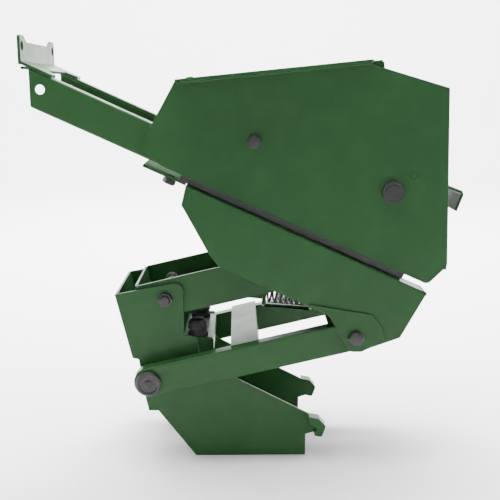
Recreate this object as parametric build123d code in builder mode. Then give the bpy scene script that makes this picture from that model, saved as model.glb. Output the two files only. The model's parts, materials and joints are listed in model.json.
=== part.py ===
from build123d import *
import os
from math import atan2, cos, degrees, hypot, radians, sin, tan

# Suspension for a tractor seat.  +X points to the front, +Y to the left side seen from the front,
# +Z up.  The origin is on the floor, in the middle of the two feet.

# ---------------------------------------------------------------- driving dimensions (mm, degrees)
sheet = 4.0                 # wall of every folded plate
fit = 0.05                  # radial clearance of a pin in its hole
gap = 0.3                   # clearance between faces that slide past each other

# linkage
pivot_a = (-146.0, 129.0)   # rear lower pivot, x and z
post = (23.0, 114.0)        # from the lower to the upper rear pivot
arm_length = 300.8          # between the pivots of either arm
arm_rise = 13.1             # slope of both arms at the top of the travel
arm_height = 43.0
arm_width = 19.0
arm_half = 88.3             # centre plane to the inner face of a lower arm
upper_height = 54.0
upper_half = 66.5           # centre plane to the outer face of the upper arm
upper_tail = 40.0           # upper arm behind its rear pivot
bolt_d = 12.7               # pivot bolts
head_af = 19.0
head_h = 8.0
shaft_d = 25.0              # rear lower shaft
cap_d = 36.0
cap_t = 7.0

# base
base_half = 73.0
foot_front = 82.0
foot_rear = -82.0
foot_inner = 27.5           # centre plane to the inner edge of a foot
foot_hole = (67.0, 39.5)
foot_hole_d = 11.0
wall_x = -51.0
wall_top = 118.0
ear_half = 87.0             # centre plane to the outside of a curled ear
ear_r = 4.0
shelf_z = 182.0
stop_x = -78.0
stop_y = 50.0
stop_d = 30.0
stop_h = 26.0

# slide
slope = 24.3                # fall of the slide towards the front
slide_z = 382.7             # underside of the rails above the origin, at x = 0
slide_gap = 10.0            # underside of the rails to the top of the carriage
slide_y = 85.5              # centre plane to the middle of a slide
slide_front = 236.0         # along the slope
slide_rear = -104.0

# carriage
carriage_half = 111.6
doubler_t = 3.0
inner_half = 71.0           # centre plane to the outer face of an inner plate
tube_d = 28.0
tube_at = (200.0, 255.0)
anchor_d = 12.0
anchor_at = (128.0, 222.0)

# housing
housing_half = 101.0
flange = 27.5               # seat flange beyond the side plate
flange_slope = 5.65
top_rear = (-100.6, 552.0)
top_front_x = 159.0
panel_top = (265.7, 541.2)
panel_bottom = (274.6, 297.0)
slot_half = 88.0            # lever slot in the front panel
slot_z = (466.0, 481.0)
notch_pitch = 16.0
notch_first = -40.0
notch_count = 8
notch_depth = 7.0
notch_w = 9.0
latch_y = 8.0               # middle of the latch handle and of its opening
latch_window = 84.0         # half width
latch_window_z = (392.0, 438.0)
toe_half = 50.0             # cut-out at the foot of the panel
toe_top = 354.0
panel_hole = (61.0, 345.0)
panel_hole_d = 10.0
bend_r = 3.0
outer_bend = 3.0            # outside of the bends of the rails
turn_w = 20.0               # rear edge, turned inwards
turn_foot = (-129.8, 500.0)
seat_slot = (-90.0, 147.0)
seat_slot_y = 117.5
seat_slot_d = 9.0
seat_slot_l = 16.0

# rails
rail_half = housing_half - sheet
rail_h = 47.0
rail_flange = 23.0
rail_rear = -295.0
rail_front = 240.0
end_top = 610.0
end_hole_y = 87.0
end_hole_d = 13.0

# sheave
sheave_at = (194.6, 401.5)
sheave_y = -22.0
sheave_d = 122.0
sheave_w = 18.0
hub_d = 54.0
hub_w = 46.0
axle_d = 20.0

# weight adjuster
box_x = (-84.0, 42.0)
box_y = (-85.0, 3.0)
box_z = 489.0
box_depth = 34.0
lever_at = (-13.0, -43.0)
lever_fall = 4.1
lever_turn = 19.9
pad_fall = 38.0          # how far the lever's finger pad is bent down
lever_w = 35.0
lever_stand = 6.26          # panel to the bend of the finger pad
disc_d = 46.0
cross_shaft_at = (4.0, 470.0)
cross_shaft_d = 16.0
shaft_end_d = 10.0

# latch handle
handle_half = 77.0
handle_at = (222.0, 424.5)
handle_fall = 20.0
handle_reach = 88.0
lip_h = 30.0
stub_d = 10.0

# ---------------------------------------------------------------- derived places
pivot_c = (pivot_a[0] + post[0], pivot_a[1] + post[1])
reach = (arm_length * cos(radians(arm_rise)), arm_length * sin(radians(arm_rise)))
pivot_b = (pivot_a[0] + reach[0], pivot_a[1] + reach[1])
pivot_d = (pivot_c[0] + reach[0], pivot_c[1] + reach[1])
incline = Plane(
    origin=(0, 0, slide_z),
    x_dir=(cos(radians(slope)), 0, -sin(radians(slope))),
    z_dir=(sin(radians(slope)), 0, cos(radians(slope))),
)
carriage_z = slide_z - slide_gap / cos(radians(slope))
draw = (anchor_at[0] - pivot_c[0], anchor_at[1] - pivot_c[1])
draw_length = hypot(*draw)
draw_angle = degrees(atan2(draw[1], draw[0]))
panel_lean = degrees(atan2(panel_bottom[0] - panel_top[0], panel_top[1] - panel_bottom[1]))


def side(y):
    """Plane of a side view at y: x to the front, z up, facing -Y."""
    return Plane(origin=(0, y, 0), x_dir=(1, 0, 0), z_dir=(0, -1, 0))


def turned(at, y, angle):
    """Side plane with its origin at a pivot, turned up towards the front."""
    c, s = cos(radians(angle)), sin(radians(angle))
    return Plane(origin=(at[0], y, at[1]), x_dir=(c, 0, s), z_dir=(0, -1, 0))


def rail_line(x, lift=0.0):
    """Height of the slope at x, lifted along its normal."""
    return slide_z - x * tan(radians(slope)) + lift / cos(radians(slope))


def seat_line(x):
    """Height of the top edge of the housing at x."""
    return top_rear[1] + (x - top_rear[0]) * tan(radians(flange_slope))


def panel_x(z):
    """Front face of the front panel at height z."""
    return panel_top[0] + (panel_top[1] - z) * tan(radians(panel_lean))


def bar(at, y0, y1, d, hole=0.0):
    """Round bar or ring along Y between y0 and y1."""
    with BuildPart() as made:
        with BuildSketch(side(max(y0, y1))):
            with Locations(at):
                Circle(d / 2)
                if hole:
                    Circle(hole / 2, mode=Mode.SUBTRACT)
        extrude(amount=abs(y1 - y0))
    return made.part


def hexagon(at, y0, y1, across):
    """Hexagon head or nut along Y between y0 and y1."""
    with BuildPart() as made:
        with BuildSketch(side(max(y0, y1))):
            with Locations(at):
                RegularPolygon(across / 2, 6, major_radius=False)
        extrude(amount=abs(y1 - y0))
        chamfer(made.edges().filter_by(Axis.Y, reverse=True), 0.6)
    return made.part


def corners(sketch, x, y, count=1):
    """Corners of a sketch nearest to a point in the sketch's own plane."""
    return sketch.vertices().sort_by_distance((x, y, 0))[:count]


def save(part, name):
    part.label = name
    export_step(part, f"parts/{name}.step")


os.makedirs("parts", exist_ok=True)

# ================================================================ base
ear_line = [
    (foot_front + 4, 66), (foot_front + 19, 63), (foot_front + 29, 51),
    (foot_front + 23, 34), (foot_front + 12, 37),
]
base_line = [
    (-196, 250), (-97, 269), (-97, 190), (-78, 186), (-75, 160), (-50, 137), *ear_line,
    (foot_front, 33), (foot_front, 0), (foot_rear, 0), (-137, 72), (-151, 72), (-155, 90),
    (-164, 152), (-173, 154),
]

with BuildPart() as base_frame:
    with BuildSketch(side(base_half)) as base_side:
        with BuildLine():
            Polyline(*base_line, close=True)
        make_face()
        fillet(corners(base_side, -97, 269), 12)
        fillet(corners(base_side, *ear_line[2]), ear_r)
        fillet(corners(base_side, *ear_line[3]), ear_r)
    extrude(amount=sheet)
    # curled ear at the front end of the side plate
    with BuildSketch(side(ear_half)) as ear:
        with BuildLine():
            Polyline(*ear_line, (foot_front + 16, 48), (foot_front + 6, 55), close=True)
        make_face()
        fillet(corners(ear, *ear_line[2]), ear_r)
        fillet(corners(ear, *ear_line[3]), ear_r)
    extrude(amount=ear_half - base_half + sheet)
    # foot
    with BuildSketch(Plane.XY) as foot:
        with BuildLine():
            Polyline(
                (wall_x, foot_inner), (foot_front, foot_inner), (foot_front, base_half),
                (wall_x, base_half), close=True,
            )
        make_face()
        fillet(corners(foot, foot_front, base_half), 14)
        with Locations(foot_hole):
            Circle(foot_hole_d / 2, mode=Mode.SUBTRACT)
    extrude(amount=sheet)
    mirror(about=Plane.XZ)
    # front wall, rear wall and the shelf of the bump stops
    with BuildSketch(side(base_half - sheet)):
        with BuildLine():
            Polyline(
                (wall_x - sheet, 0), (wall_x, 0), (wall_x, wall_top), (wall_x - sheet, wall_top), close=True,
            )
        make_face()
        with BuildLine():
            Polyline((-196, 250), (-191.8, 250.8), (-168.9, 153.1), (-173, 154), close=True)
        make_face()
        with BuildLine():
            Polyline(
                (-99, shelf_z - sheet), (-58, shelf_z - sheet), (-58, shelf_z - 20), (-54, shelf_z - 20),
                (-54, shelf_z), (-99, shelf_z), close=True,
            )
        make_face()
    extrude(amount=2 * (base_half - sheet))
    # holes of the two rear pivots
    with BuildSketch(side(base_half)):
        with Locations(pivot_a):
            Circle(shaft_d / 2 + fit)
        with Locations(pivot_c):
            Circle(bolt_d / 2 + fit)
    extrude(amount=2 * base_half, mode=Mode.SUBTRACT)
    # hole of the wall bolt
    with BuildSketch(Plane.YZ.offset(wall_x)):
        with Locations((0, 32)):
            Circle(bolt_d / 2 + fit)
    extrude(amount=-sheet, mode=Mode.SUBTRACT)
save(base_frame.part, "base_frame")

with BuildPart() as wall_bolt:
    with BuildSketch(Plane.YZ.offset(wall_x)):
        with Locations((0, 32)):
            Circle(14)
    extrude(amount=2.5)
    with BuildSketch(Plane.YZ.offset(wall_x + 2.5)):
        with Locations((0, 32)):
            RegularPolygon(head_af / 2, 6, major_radius=False)
    extrude(amount=head_h)
    chamfer(wall_bolt.faces().sort_by(Axis.X)[-1].edges(), 0.8)
    with BuildSketch(Plane.YZ.offset(wall_x)):
        with Locations((0, 32)):
            Circle(bolt_d / 2)
    extrude(amount=-sheet - 14)
    with BuildSketch(Plane.YZ.offset(wall_x - sheet)):
        with Locations((0, 32)):
            RegularPolygon(head_af / 2, 6, major_radius=False)
    extrude(amount=-10)
save(wall_bolt.part, "wall_bolt")

with BuildPart() as bump_stops:
    with Locations(*[(stop_x, y, shelf_z) for y in (-stop_y, stop_y)]):
        Cylinder(stop_d / 2, stop_h, align=(Align.CENTER, Align.CENTER, Align.MIN))
    fillet(bump_stops.edges().group_by(Axis.Z)[-1], 6)
save(bump_stops.part, "bump_stops")

# ================================================================ rear pivots
shaft_end = carriage_half + 1.0
save(bar(pivot_a, -shaft_end, shaft_end, shaft_d), "lower_pivot_shaft")

with BuildPart() as shaft_caps:
    arm_face = arm_half + arm_width
    with BuildSketch(side(arm_face + gap + cap_t)):
        with Locations(pivot_a):
            Circle(cap_d / 2)
    extrude(amount=cap_t)
    chamfer(shaft_caps.faces().sort_by(Axis.Y)[-1].edges(), 1.5)
    with BuildSketch(side(arm_face + gap + cap_t)):
        with Locations(pivot_a):
            Circle(cap_d / 2 - 7)
    extrude(amount=2, mode=Mode.SUBTRACT)
    with BuildSketch(side(shaft_end)):
        with Locations(pivot_a):
            Circle(shaft_d / 2)
    extrude(amount=shaft_end - arm_face, mode=Mode.SUBTRACT)
    mirror(about=Plane.XZ)
save(shaft_caps.part, "shaft_caps")

with BuildPart() as shaft_sleeves:
    with BuildSketch(side(arm_half - gap)):
        with Locations(pivot_a):
            Circle(shaft_d / 2 + 5)
            Circle(shaft_d / 2 + fit, mode=Mode.SUBTRACT)
    extrude(amount=arm_half - gap - base_half)
    mirror(about=Plane.XZ)
save(shaft_sleeves.part, "shaft_sleeves")

save(bar(pivot_c, -base_half - 12, base_half, bolt_d), "upper_pivot_rod")
with BuildPart() as upper_pivot_nuts:
    add(hexagon(pivot_c, base_half, base_half + head_h, head_af))
    with BuildSketch(side(base_half + head_h)):
        with Locations(pivot_c):
            Circle(bolt_d / 2)
    extrude(amount=head_h, mode=Mode.SUBTRACT)
    mirror(about=Plane.XZ)
save(upper_pivot_nuts.part, "upper_pivot_nuts")


# ================================================================ lower arms
def lower_arm():
    """Inverted channel with round ends, on the +Y side."""
    with BuildPart() as made:
        with BuildSketch(turned(pivot_a, arm_half + arm_width, arm_rise)):
            with Locations((arm_length / 2, 0)):
                SlotCenterToCenter(arm_length, arm_height)
        extrude(amount=arm_width)
        with BuildSketch(turned(pivot_a, arm_half + arm_width - sheet, arm_rise)):
            with Locations((arm_length / 2, -sheet)):
                Rectangle(arm_length + 2 * arm_height, arm_height)
        extrude(amount=arm_width - 2 * sheet, mode=Mode.SUBTRACT)
        with BuildSketch(side(arm_half + arm_width)):
            with Locations(pivot_a):
                Circle(shaft_d / 2 + fit)
            with Locations(pivot_b):
                Circle(bolt_d / 2 + fit)
        extrude(amount=arm_width, mode=Mode.SUBTRACT)
        outer = made.faces().sort_by(Axis.Y)[-1].edges().filter_by(GeomType.LINE)
        fillet(outer.sort_by(Axis.Z)[-1], bend_r)
    return made.part


arm = lower_arm()
save(arm, "lower_arm_left")
save(mirror(arm, about=Plane.XZ), "lower_arm_right")

with BuildPart() as arm_cross_plate:
    cross_at, cross_w = 146.0, 40.0
    with BuildSketch(turned(pivot_a, arm_half + arm_width - 3, arm_rise)):
        with Locations((cross_at, arm_height / 2 + sheet / 2)):
            Rectangle(cross_w, sheet)
    extrude(amount=2 * (arm_half + arm_width - 3))
    with BuildSketch(turned(pivot_a, arm_half, arm_rise)):
        for x in (cross_at - cross_w / 2, cross_at + cross_w / 2 - 3):
            with BuildLine():
                Polyline(
                    (x, arm_height / 2 - 8), (x + 3, arm_height / 2 - 8), (x + 3, arm_height / 2),
                    (x, arm_height / 2), close=True,
                )
            make_face()
    extrude(amount=2 * arm_half)
save(arm_cross_plate.part, "arm_cross_plate")

with BuildPart() as arm_bushes:
    with BuildSketch(side(arm_half + arm_width - sheet)):
        with Locations(pivot_a):
            Circle(shaft_d / 2 + 4)
            Circle(shaft_d / 2 + fit, mode=Mode.SUBTRACT)
        with Locations(pivot_b):
            Circle(bolt_d / 2 + 4)
            Circle(bolt_d / 2 + fit, mode=Mode.SUBTRACT)
    extrude(amount=arm_width - 2 * sheet)
    mirror(about=Plane.XZ)
save(arm_bushes.part, "arm_bushes")

# ================================================================ upper arm
with BuildPart() as upper_arm:
    nose_r = 22.0
    lip = 24.0
    with BuildSketch(turned(pivot_c, upper_half, arm_rise)) as upper_side:
        with BuildLine():
            half = upper_height / 2
            taper = arm_length - 62
            Polyline(
                (arm_length, nose_r), (taper, half), (-upper_tail, half), (-upper_tail, -half),
                (taper, -half), (arm_length, -nose_r),
            )
            RadiusArc((arm_length, -nose_r), (arm_length, nose_r), -nose_r)
        make_face()
        fillet(corners(upper_side, -upper_tail, half), 6)
    extrude(amount=sheet)
    # lower flange and rear web
    with BuildSketch(turned(pivot_c, upper_half - sheet, arm_rise)):
        with BuildLine():
            Polyline(
                (-upper_tail, -half), (taper - 30, -half), (taper - 30, -half + sheet),
                (-upper_tail, -half + sheet), close=True,
            )
        make_face()
    extrude(amount=lip)
    mirror(about=Plane.XZ)
    with BuildSketch(turned(pivot_c, upper_half - sheet, arm_rise)):
        with Locations((-upper_tail + sheet / 2, 3)):
            Rectangle(sheet, upper_height - 6)
    extrude(amount=2 * (upper_half - sheet))
    with BuildSketch(side(upper_half)):
        with Locations(pivot_c, pivot_d):
            Circle(bolt_d / 2 + fit)
    extrude(amount=2 * upper_half, mode=Mode.SUBTRACT)
save(upper_arm.part, "upper_arm")

with BuildPart() as upper_arm_bushes:
    with BuildSketch(side(upper_half - sheet)):
        with Locations(pivot_c, pivot_d):
            Circle(bolt_d / 2 + 5)
        with Locations(pivot_c, pivot_d):
            Circle(bolt_d / 2 + fit, mode=Mode.SUBTRACT)
    extrude(amount=16)
    mirror(about=Plane.XZ)
save(upper_arm_bushes.part, "upper_arm_bushes")

# ================================================================ carriage
def carriage_top(x):
    """A point on the sloping top line of the carriage."""
    return (x, carriage_z - x * tan(radians(slope)))


b_x, b_z = pivot_b
lug_r = 22.0
outer_top = [carriage_top(-88.6), carriage_top(245.3)]
carriage_line = [
    *outer_top, (210, 196),
    (b_x + 8, b_z - lug_r + 1), (b_x - 8, b_z - lug_r + 1), (b_x - lug_r, b_z + 2),
    (109, 229), (-44.6, 299.5), (-58, 317), (-95, 385.5),
]


def carriage_side():
    """Outer plate, top flange and inner plate of the carriage, on the +Y side."""
    with BuildPart() as made:
        with BuildSketch(side(carriage_half)) as outer:
            with BuildLine():
                Polyline(*carriage_line, close=True)
            make_face()
            fillet(corners(outer, b_x + 8, b_z - lug_r + 1), 10)
            fillet(corners(outer, b_x - 8, b_z - lug_r + 1), 10)
            fillet(corners(outer, -44.6, 299.5), 7)
            fillet(corners(outer, -58, 317), 9)
        extrude(amount=sheet)
        with BuildSketch(side(inner_half)) as inner:
            with BuildLine():
                d_x, d_z = pivot_d
                Polyline(
                    carriage_top(88), carriage_top(135),
                    (d_x - 19, d_z + 8), (d_x - 6, d_z + 19), (d_x + 9, d_z + 17), (d_x + 20, d_z - 8),
                    carriage_top(215), (236, 254), (200, 196),
                    (b_x + 8, b_z - lug_r + 1), (b_x - 8, b_z - lug_r + 1), (112, 205), (96, 250), close=True,
                )
            make_face()
        extrude(amount=sheet)
        with BuildSketch(side(carriage_half)):
            with BuildLine():
                drop = sheet / cos(radians(slope))
                (x0, z0), (x1, z1) = outer_top
                Polyline((x0, z0), (x1, z1), (x1 - 1, z1 - drop), (x0, z0 - drop), close=True)
            make_face()
        extrude(amount=carriage_half - inner_half)
        # slanted closing plate at the front, narrower towards its foot
        front = Plane(
            origin=(outer_top[1][0], 0, outer_top[1][1]),
            x_dir=(0, 1, 0),
            z_dir=Vector(outer_top[1][1] - 196, 0, 210 - outer_top[1][0]).normalized(),
        )
        with BuildSketch(front) as closing:
            with BuildLine():
                Polyline(
                    (inner_half, 0), (carriage_half, 0), (carriage_half - sheet, -72), (inner_half + 12, -72),
                    (inner_half, -30), close=True,
                )
            make_face()
            fillet(corners(closing, (carriage_half + inner_half) / 2, -80, 2), 6)
        extrude(amount=-sheet)
        with BuildSketch(side(carriage_half)):
            with Locations(pivot_b, pivot_d):
                Circle(bolt_d / 2 + fit)
        extrude(amount=carriage_half - inner_half + sheet, mode=Mode.SUBTRACT)
        with BuildSketch(side(inner_half)):
            with Locations(tube_at):
                Circle(tube_d / 2 + fit)
            with Locations(anchor_at):
                Circle(anchor_d / 2 + fit)
        extrude(amount=sheet, mode=Mode.SUBTRACT)
    return made.part


carriage = carriage_side()
save(carriage, "carriage_left")
save(mirror(carriage, about=Plane.XZ), "carriage_right")

with BuildPart() as pivot_doublers:
    with BuildSketch(side(carriage_half + doubler_t)) as doubler:
        with BuildLine():
            Polyline(
                (80, 246), (168, 231), (183, 214), (189, 192), (b_x + 8, b_z - lug_r + 1),
                (b_x - 8, b_z - lug_r + 1), (b_x - lug_r, b_z + 2), (109, 229), close=True,
            )
        make_face()
        fillet(corners(doubler, b_x + 8, b_z - lug_r + 1), 10)
        fillet(corners(doubler, b_x - 8, b_z - lug_r + 1), 10)
        fillet(corners(doubler, 168, 231), 8)
        fillet(corners(doubler, 183, 214), 8)
        with Locations(pivot_b):
            Circle(bolt_d / 2 + fit, mode=Mode.SUBTRACT)
    extrude(amount=doubler_t)
    mirror(about=Plane.XZ)
save(pivot_doublers.part, "pivot_doublers")

bolt_out = carriage_half + doubler_t
with BuildPart() as front_pivot_bolts:
    add(hexagon(pivot_b, bolt_out, bolt_out + head_h, head_af))
    with BuildSketch(side(bolt_out)):
        with Locations(pivot_b):
            Circle(bolt_d / 2)
    extrude(amount=bolt_out - inner_half + sheet + head_h + 2)
    mirror(about=Plane.XZ)
save(front_pivot_bolts.part, "front_pivot_bolts")

with BuildPart() as front_pivot_nuts:
    add(hexagon(pivot_b, inner_half - sheet - head_h, inner_half - sheet, head_af))
    with BuildSketch(side(inner_half - sheet)):
        with Locations(pivot_b):
            Circle(bolt_d / 2)
    extrude(amount=head_h, mode=Mode.SUBTRACT)
    mirror(about=Plane.XZ)
save(front_pivot_nuts.part, "front_pivot_nuts")

tube_end = inner_half + 3.0
save(bar(tube_at, -tube_end, tube_end, tube_d, tube_d - 6), "front_cross_tube")
save(bar(anchor_at, -inner_half - 3, inner_half + 3, anchor_d), "spring_anchor_rod")

with BuildPart() as upper_front_pins:
    with BuildSketch(side(inner_half)):
        with Locations(pivot_d):
            Circle(bolt_d / 2)
    extrude(amount=inner_half - upper_half + 22)
    mirror(about=Plane.XZ)
save(upper_front_pins.part, "upper_front_pins")


# ================================================================ slides
def slide_section(y, shapes, s0, s1):
    """Prism along the slope between s0 and s1 from boxes (width, low, high) about y."""
    with BuildPart() as made:
        for width, low, high in shapes:
            with BuildSketch(incline.offset(low)):
                with Locations(((s0 + s1) / 2, y)):
                    Rectangle(s1 - s0, width)
            extrude(amount=high - low)
    return made.part


head_low, head_high = -5.2, -2.8
lower_shapes = [(12, -slide_gap, head_high), (21, head_low, head_high)]
for name, y in (("left", slide_y), ("right", -slide_y)):
    save(slide_section(y, lower_shapes, slide_rear + 12, slide_front), f"lower_slide_{name}")

with BuildPart() as channel:
    outer_w, wall = 27.0, 2.4
    with BuildSketch(incline.offset(-8.0)):
        with Locations(((slide_rear + slide_front) / 2, slide_y)):
            Rectangle(slide_front - slide_rear, outer_w)
    extrude(amount=8.0)
    with BuildSketch(incline.offset(-8.0 + 2.0)):
        with Locations(((slide_rear + slide_front) / 2, slide_y)):
            Rectangle(slide_front - slide_rear + 2, outer_w - 2 * wall)
    extrude(amount=8.0 - 2.0 - wall, mode=Mode.SUBTRACT)
    with BuildSketch(incline.offset(-8.0)):
        with Locations(((slide_rear + slide_front) / 2, slide_y)):
            Rectangle(slide_front - slide_rear + 2, 13.5)
    extrude(amount=2.0, mode=Mode.SUBTRACT)
save(channel.part, "upper_slide_left")
save(mirror(channel.part, about=Plane.XZ), "upper_slide_right")

with BuildPart() as slide_stop_plate:
    with BuildSketch(incline.offset(-slide_gap - 2.5)):
        with Locations((slide_rear - 21.5, 0)):
            Rectangle(64, 2 * (slide_y + 7))
        with Locations((slide_rear - 12, slide_y), (slide_rear - 12, -slide_y)):
            Circle(5 + fit, mode=Mode.SUBTRACT)
    extrude(amount=sheet)
save(slide_stop_plate.part, "slide_stop_plate")


# ================================================================ housing
def lateral_slot(plane, at, length, d, depth):
    """Tool for a slot whose length lies along the first axis of the plane."""
    with BuildPart() as made:
        with BuildSketch(plane):
            with Locations(at):
                SlotOverall(length, d)
        extrude(amount=depth, both=True)
    return made.part


seat_plane = Plane(
    origin=(top_rear[0], 0, top_rear[1]),
    x_dir=(cos(radians(flange_slope)), 0, sin(radians(flange_slope))),
    z_dir=(-sin(radians(flange_slope)), 0, cos(radians(flange_slope))),
)
panel_plane = Plane(
    origin=(panel_top[0], 0, panel_top[1]),
    x_dir=(0, 1, 0),
    z_dir=(cos(radians(panel_lean)), 0, sin(radians(panel_lean))),
)


def on_panel(y, z):
    """Point of the front panel's plane at y and height z."""
    return (y, (z - panel_top[1]) / cos(radians(panel_lean)))


lap_rear = (-146.0, 459.0)
housing_line = [
    top_rear, (top_front_x, seat_line(top_front_x)), (top_front_x + 3, seat_line(top_front_x) - 6),
    panel_top, panel_bottom, (248, rail_line(248)), (-122, rail_line(-122)), lap_rear, (-134, 492),
]

def housing_side():
    """Side plate with its seat flange and turned-in rear edge, on the +Y side."""
    with BuildPart() as made:
        with BuildSketch(side(housing_half)) as shell_side:
            with BuildLine():
                Polyline(*housing_line, close=True)
            make_face()
            fillet(corners(shell_side, *panel_bottom), 9)
            fillet(corners(shell_side, 248, rail_line(248)), 9)
        extrude(amount=sheet)
        # seat flange, bent outwards along the top edge
        flange_length = (top_front_x - top_rear[0]) / cos(radians(flange_slope))
        with BuildSketch(seat_plane) as flange_shape:
            with BuildLine():
                edge = housing_half + flange
                Polyline(
                    (0, housing_half - sheet), (flange_length, housing_half - sheet),
                    (flange_length, edge - 5), (flange_length - 5, edge), (14, edge), (0, edge - 12),
                    close=True,
                )
            make_face()
            fillet(corners(flange_shape, flange_length, edge - 5), 2)
        extrude(amount=-sheet)
        bend_line = Axis(origin=(0, 0, 0), direction=seat_plane.x_dir)
        bend = made.edges().filter_by(bend_line)
        fillet(bend.sort_by_distance((0, housing_half, seat_line(0) - sheet))[0], bend_r)
        bend = made.edges().filter_by(bend_line)
        fillet(bend.sort_by_distance((0, housing_half - sheet, seat_line(0)))[0], bend_r)
        for x in seat_slot:
            along = (x - top_rear[0]) / cos(radians(flange_slope))
            add(
                lateral_slot(seat_plane, (along, seat_slot_y), seat_slot_l, seat_slot_d, 8),
                mode=Mode.SUBTRACT,
            )
        # rear edge turned inwards
        with BuildSketch(side(housing_half)):
            with BuildLine():
                (x0, z0), (x1, z1) = top_rear, turn_foot
                Polyline((x0 + 1, z0 - 8), (x0 - 4, z0 - 8), (x1, z1), (x1 + 5, z1), close=True)
            make_face()
        extrude(amount=turn_w)
        # holes of the cross shaft and of the latch handle
        with BuildSketch(side(housing_half)):
            with Locations(cross_shaft_at):
                Circle(shaft_end_d / 2 + fit)
            with Locations(handle_at):
                Circle(stub_d / 2 + fit)
        extrude(amount=sheet, mode=Mode.SUBTRACT)
    return made.part


plate = housing_side()
save(plate, "housing_left")
with BuildPart() as housing_right:
    add(mirror(plate, about=Plane.XZ))
    # hole of the sheave's axle
    with BuildSketch(side(-housing_half + sheet)):
        with Locations(sheave_at):
            Circle(axle_d / 2 + fit)
    extrude(amount=sheet, mode=Mode.SUBTRACT)
save(housing_right.part, "housing_right")

with BuildPart() as front_panel:
    with BuildSketch(panel_plane):
        top, bottom = on_panel(0, panel_top[1])[1], on_panel(0, panel_bottom[1] - 6)[1]
        with BuildLine():
            Polyline(
                (-rail_half, top), (rail_half, top), (rail_half, bottom), (-rail_half, bottom),
                close=True,
            )
        make_face()
        # lever slot with its notches
        low, high = on_panel(0, slot_z[0])[1], on_panel(0, slot_z[1])[1]
        with Locations((0, (low + high) / 2)):
            Rectangle(2 * slot_half, high - low, mode=Mode.SUBTRACT)
        notches = [notch_first + notch_pitch * n for n in range(notch_count)]
        with Locations(*[(y, low) for y in notches]):
            SlotOverall(2 * notch_depth + notch_w, notch_w, rotation=90, mode=Mode.SUBTRACT)
        # opening of the latch handle
        low, high = on_panel(0, latch_window_z[0])[1], on_panel(0, latch_window_z[1])[1]
        with Locations((latch_y, (low + high) / 2)):
            RectangleRounded(2 * latch_window, high - low, 3, mode=Mode.SUBTRACT)
        # cut-out at the foot and the two small holes beside it
        high = on_panel(0, toe_top)[1]
        with BuildLine():
            Polyline(
                (-toe_half + 3, high), (toe_half - 3, high), (toe_half + 3, bottom - 1),
                (-toe_half - 3, bottom - 1), close=True,
            )
        make_face(mode=Mode.SUBTRACT)
        with Locations(on_panel(*panel_hole), on_panel(-panel_hole[0], panel_hole[1])):
            Circle(panel_hole_d / 2, mode=Mode.SUBTRACT)
    extrude(amount=-sheet)
save(front_panel.part, "front_panel")

# ---------------------------------------------------------------- rails and their end
with BuildPart() as frame_rails:
    with BuildSketch(side(rail_half)) as rail_side:
        with BuildLine():
            Polyline(
                (rail_rear, rail_line(rail_rear)), (rail_front, rail_line(rail_front)),
                (rail_front, rail_line(rail_front, rail_h)), (rail_rear, rail_line(rail_rear, rail_h)),
                close=True,
            )
        make_face()
        with Locations((-281.2, 539)):
            Circle(end_hole_d / 2, mode=Mode.SUBTRACT)
    extrude(amount=sheet)
    with BuildSketch(side(rail_half - sheet)):
        for low, high in ((0, sheet), (rail_h - sheet, rail_h)):
            with BuildLine():
                Polyline(
                    (rail_rear, rail_line(rail_rear, low)), (rail_front, rail_line(rail_front, low)),
                    (rail_front, rail_line(rail_front, high)), (rail_rear, rail_line(rail_rear, high)),
                    close=True,
                )
            make_face()
    extrude(amount=rail_flange - sheet)
    for lift in (0, rail_h):
        bend = (0, rail_half, rail_line(0, lift))
        fillet(frame_rails.edges().sort_by_distance(bend)[0], outer_bend)
    mirror(about=Plane.XZ)
    # end plate with its eared corners, standing on a flange that lies on the rails
    end_x = rail_rear - 9
    with BuildSketch(Plane.YZ.offset(end_x)) as end_plate:
        end_low = rail_line(end_x, rail_h)
        with BuildLine():
            half = rail_half
            Polyline(
                (-half, end_low), (half, end_low), (half, end_top), (half - 22, end_top),
                (half - 34, end_top - 8), (-half + 34, end_top - 8), (-half + 22, end_top), (-half, end_top),
                close=True,
            )
        make_face()
        fillet(corners(end_plate, half, end_top), 4)
        fillet(corners(end_plate, -half, end_top), 4)
        with Locations((end_hole_y, end_top - 14), (-end_hole_y, end_top - 14)):
            Circle(end_hole_d / 2, mode=Mode.SUBTRACT)
    extrude(amount=-sheet)
    with BuildSketch(incline.offset(rail_h)) as end_flange:
        s0 = incline.to_local_coords(Vector(end_x - sheet, 0, end_low)).X
        with BuildLine():
            Polyline(
                (s0, -half), (s0 + 46, -half), (s0 + 46, -half + rail_flange),
                (s0 + 30, -half + rail_flange + 20), (s0 + 30, half - rail_flange - 20),
                (s0 + 46, half - rail_flange), (s0 + 46, half), (s0, half),
                close=True,
            )
        make_face()
    extrude(amount=sheet)
save(frame_rails.part, "frame_rails")


# ---------------------------------------------------------------- crossbars
def crossbar(x0, x1, holes, slots):
    """Flat bar between the side plates, level with the seat flanges."""
    with BuildPart() as made:
        s0 = (x0 - top_rear[0]) / cos(radians(flange_slope))
        s1 = (x1 - top_rear[0]) / cos(radians(flange_slope))
        mid = (s0 + s1) / 2
        with BuildSketch(seat_plane.offset(-2 * sheet)):
            with Locations((mid, 0)):
                Rectangle(s1 - s0, 2 * (housing_half - sheet))
            for y in holes:
                with Locations((mid, y)):
                    Circle(5 + fit, mode=Mode.SUBTRACT)
            for y, length in slots:
                with Locations((mid, y)):
                    SlotOverall(length, 7, rotation=90, mode=Mode.SUBTRACT)
        extrude(amount=sheet)
        # edges turned down
        for s in (s0 + 1, s1 - 1):
            with BuildSketch(seat_plane.offset(-2 * sheet)):
                with Locations((s, 0)):
                    Rectangle(2, 2 * (housing_half - sheet))
            extrude(amount=-5)
    return made.part


save(crossbar(-80, -34, [], [(0, 22), (62, 14), (-62, 14)]), "rear_crossbar")
save(crossbar(143, 177, [-58, 0, 58], []), "front_crossbar")

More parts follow.
